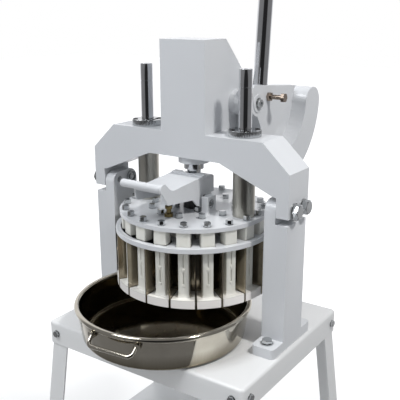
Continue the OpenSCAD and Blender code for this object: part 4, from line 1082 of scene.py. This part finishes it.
# %% Pushers
def pusher_post(bm, place, width, head):
    """One post with flared foot, slots, bosses and head; X points away from the head's axis."""
    before = set(bm.verts)
    post = flared(bm, rounded_bar(bm, width, width, FLARE[0][0], PLATE_LOW + 3, 2.0), FLARE)
    for low, high in SLOTS:
        for height in (low, high):
            post = cut_across(bm, post, (0, 0, height * MM), (0, 0, 1))
    for across in (-SLOT_HALF, SLOT_HALF):
        post = cut_across(bm, post, (0, across * MM, 0), (0, 1, 0))
    faces = {face for vert in post for face in vert.link_faces}
    slots_here = [face for face in faces if face.normal.x > 0.9 and abs(face.calc_center_median().y) < MM
                  and any(low < face.calc_center_median().z / MM < high for low, high in SLOTS)]
    sunk = bmesh.ops.extrude_face_region(bm, geom=slots_here)["geom"]
    bmesh.ops.delete(bm, geom=slots_here, context="FACES_ONLY")
    floors = [part for part in sunk if isinstance(part, bmesh.types.BMVert)]
    bmesh.ops.translate(bm, vec=(-SLOT_DEPTH * MM, 0, 0), verts=floors)
    for height in BOSSES:
        on_face = Matrix.Translation(((width / 2 + 0.2) * MM, 0, height * MM))
        bmesh.ops.create_cone(bm, cap_ends=True, segments=16, radius1=BOSS_FOOT_R * MM,
                              radius2=BOSS_TOP_R * MM, depth=BOSS_DEPTH * MM,
                              matrix=on_face @ Matrix.Rotation(math.pi / 2, 4, "Y"))
    rounded_bar(bm, width, head, PLATE_LOW + 2, POST_TOP, 2.5)
    bmesh.ops.transform(bm, matrix=place, verts=fresh(bm, before))


for node, places, width, head in (
        ("outer_pushers", ring_places(OUTER_RING, OUTER_POST_REACH, 0), 22, 27.5),
        ("middle_pushers", ring_places(MIDDLE_RING, MIDDLE_REACH, 0), 22, 27.5),
        ("inner_pushers", ring_places(INNER_RING, INNER_REACH, 0), 16, 16.0)):
    bm = copy_of(node)
    bmesh.ops.bisect_plane(bm, geom=bm.verts[:] + bm.edges[:] + bm.faces[:], dist=1e-7,
                           plane_co=at(0, 0, SHOE_TOP + 0.5), plane_no=(0, 0, 1), clear_outer=True)
    bmesh.ops.holes_fill(bm, edges=[edge for edge in bm.edges if edge.is_boundary], sides=0)
    for place in places:
        pusher_post(bm, place, width, head)
    add_rounding(make_piece("moulded_" + node, bm, [node]), radius=0.6, segments=2)
    print(node, "posts:", len(places))

# %% [markdown]
# The latch turns between two lugs that are welded to the press plate. The hollow weld bead round each foot is
# a short bar with a flared foot, set over the solid lug. The flap runs up to its nose in one hollow curve, so
# the sharp inner corner of the solid gets a wide bevel.

# %% Latch lugs and flap
LUG_MID = (52.5, -23)
LUG_SIZE = (14, 32)
WELD = ((PRESS_TOP, 4.5), (PRESS_TOP + 1.2, 2.6), (PRESS_TOP + 3.2, 1.0), (PRESS_TOP + 6, 0.2))
bm = copy_of("latch_lugs")
for side in (-1, 1):
    old = set(bm.verts)
    flared(bm, rounded_bar(bm, *LUG_SIZE, WELD[0][0], PRESS_TOP + 9, 1.5), WELD)
    foot = Matrix.Translation(at(side * LUG_MID[0], LUG_MID[1], 0))
    bmesh.ops.transform(bm, matrix=foot, verts=fresh(bm, old))
add_rounding(make_piece("welded_latch_lugs", bm, ["latch_lugs"]), radius=1.3)

FLAP_VALLEY = at(0, -131, 322.2)
HOLLOW_R = 10
bm = copy_of("latch_flap")
hollow = [edge for edge in bm.edges
          if all((vert.co - FLAP_VALLEY).yz.length < 0.3 * MM for vert in edge.verts)]
round_edges(bm, hollow, HOLLOW_R, segments=7)
add_rounding(make_piece("hollowed_latch_flap", bm, ["latch_flap"]), radius=1.2)
print("hollowed edges:", len(hollow))

# %% [markdown]
# The lever's casting has a raised ring round the hub screw, machined flat for its washer. It is turned on its
# own and let into the casting's face, which saves cutting that face.

# %% Hub ring
HUB_OUT = 110 * MM
RING_IN = 11.6
RING_OUT = 19.5
RING_FOOT = -0.5
RING_TOP = 1.7
HUB_FACE = LEVER @ Matrix.Translation((HUB_OUT, 0, 0)) @ Matrix.Rotation(math.pi / 2, 4, "Y")
bm = bmesh.new()
turned(bm, [(RING_IN, RING_FOOT), (RING_OUT, RING_FOOT), (RING_OUT, RING_TOP - 0.8),
            (RING_OUT - 0.9, RING_TOP), (RING_IN + 0.6, RING_TOP), (RING_IN, RING_TOP - 0.6)],
       steps=64, closed=True)
bmesh.ops.transform(bm, matrix=HUB_FACE, verts=bm.verts)
make_piece("hub_ring", bm, [], crisp=30, like="lever_casting")
print("hub ring turned")
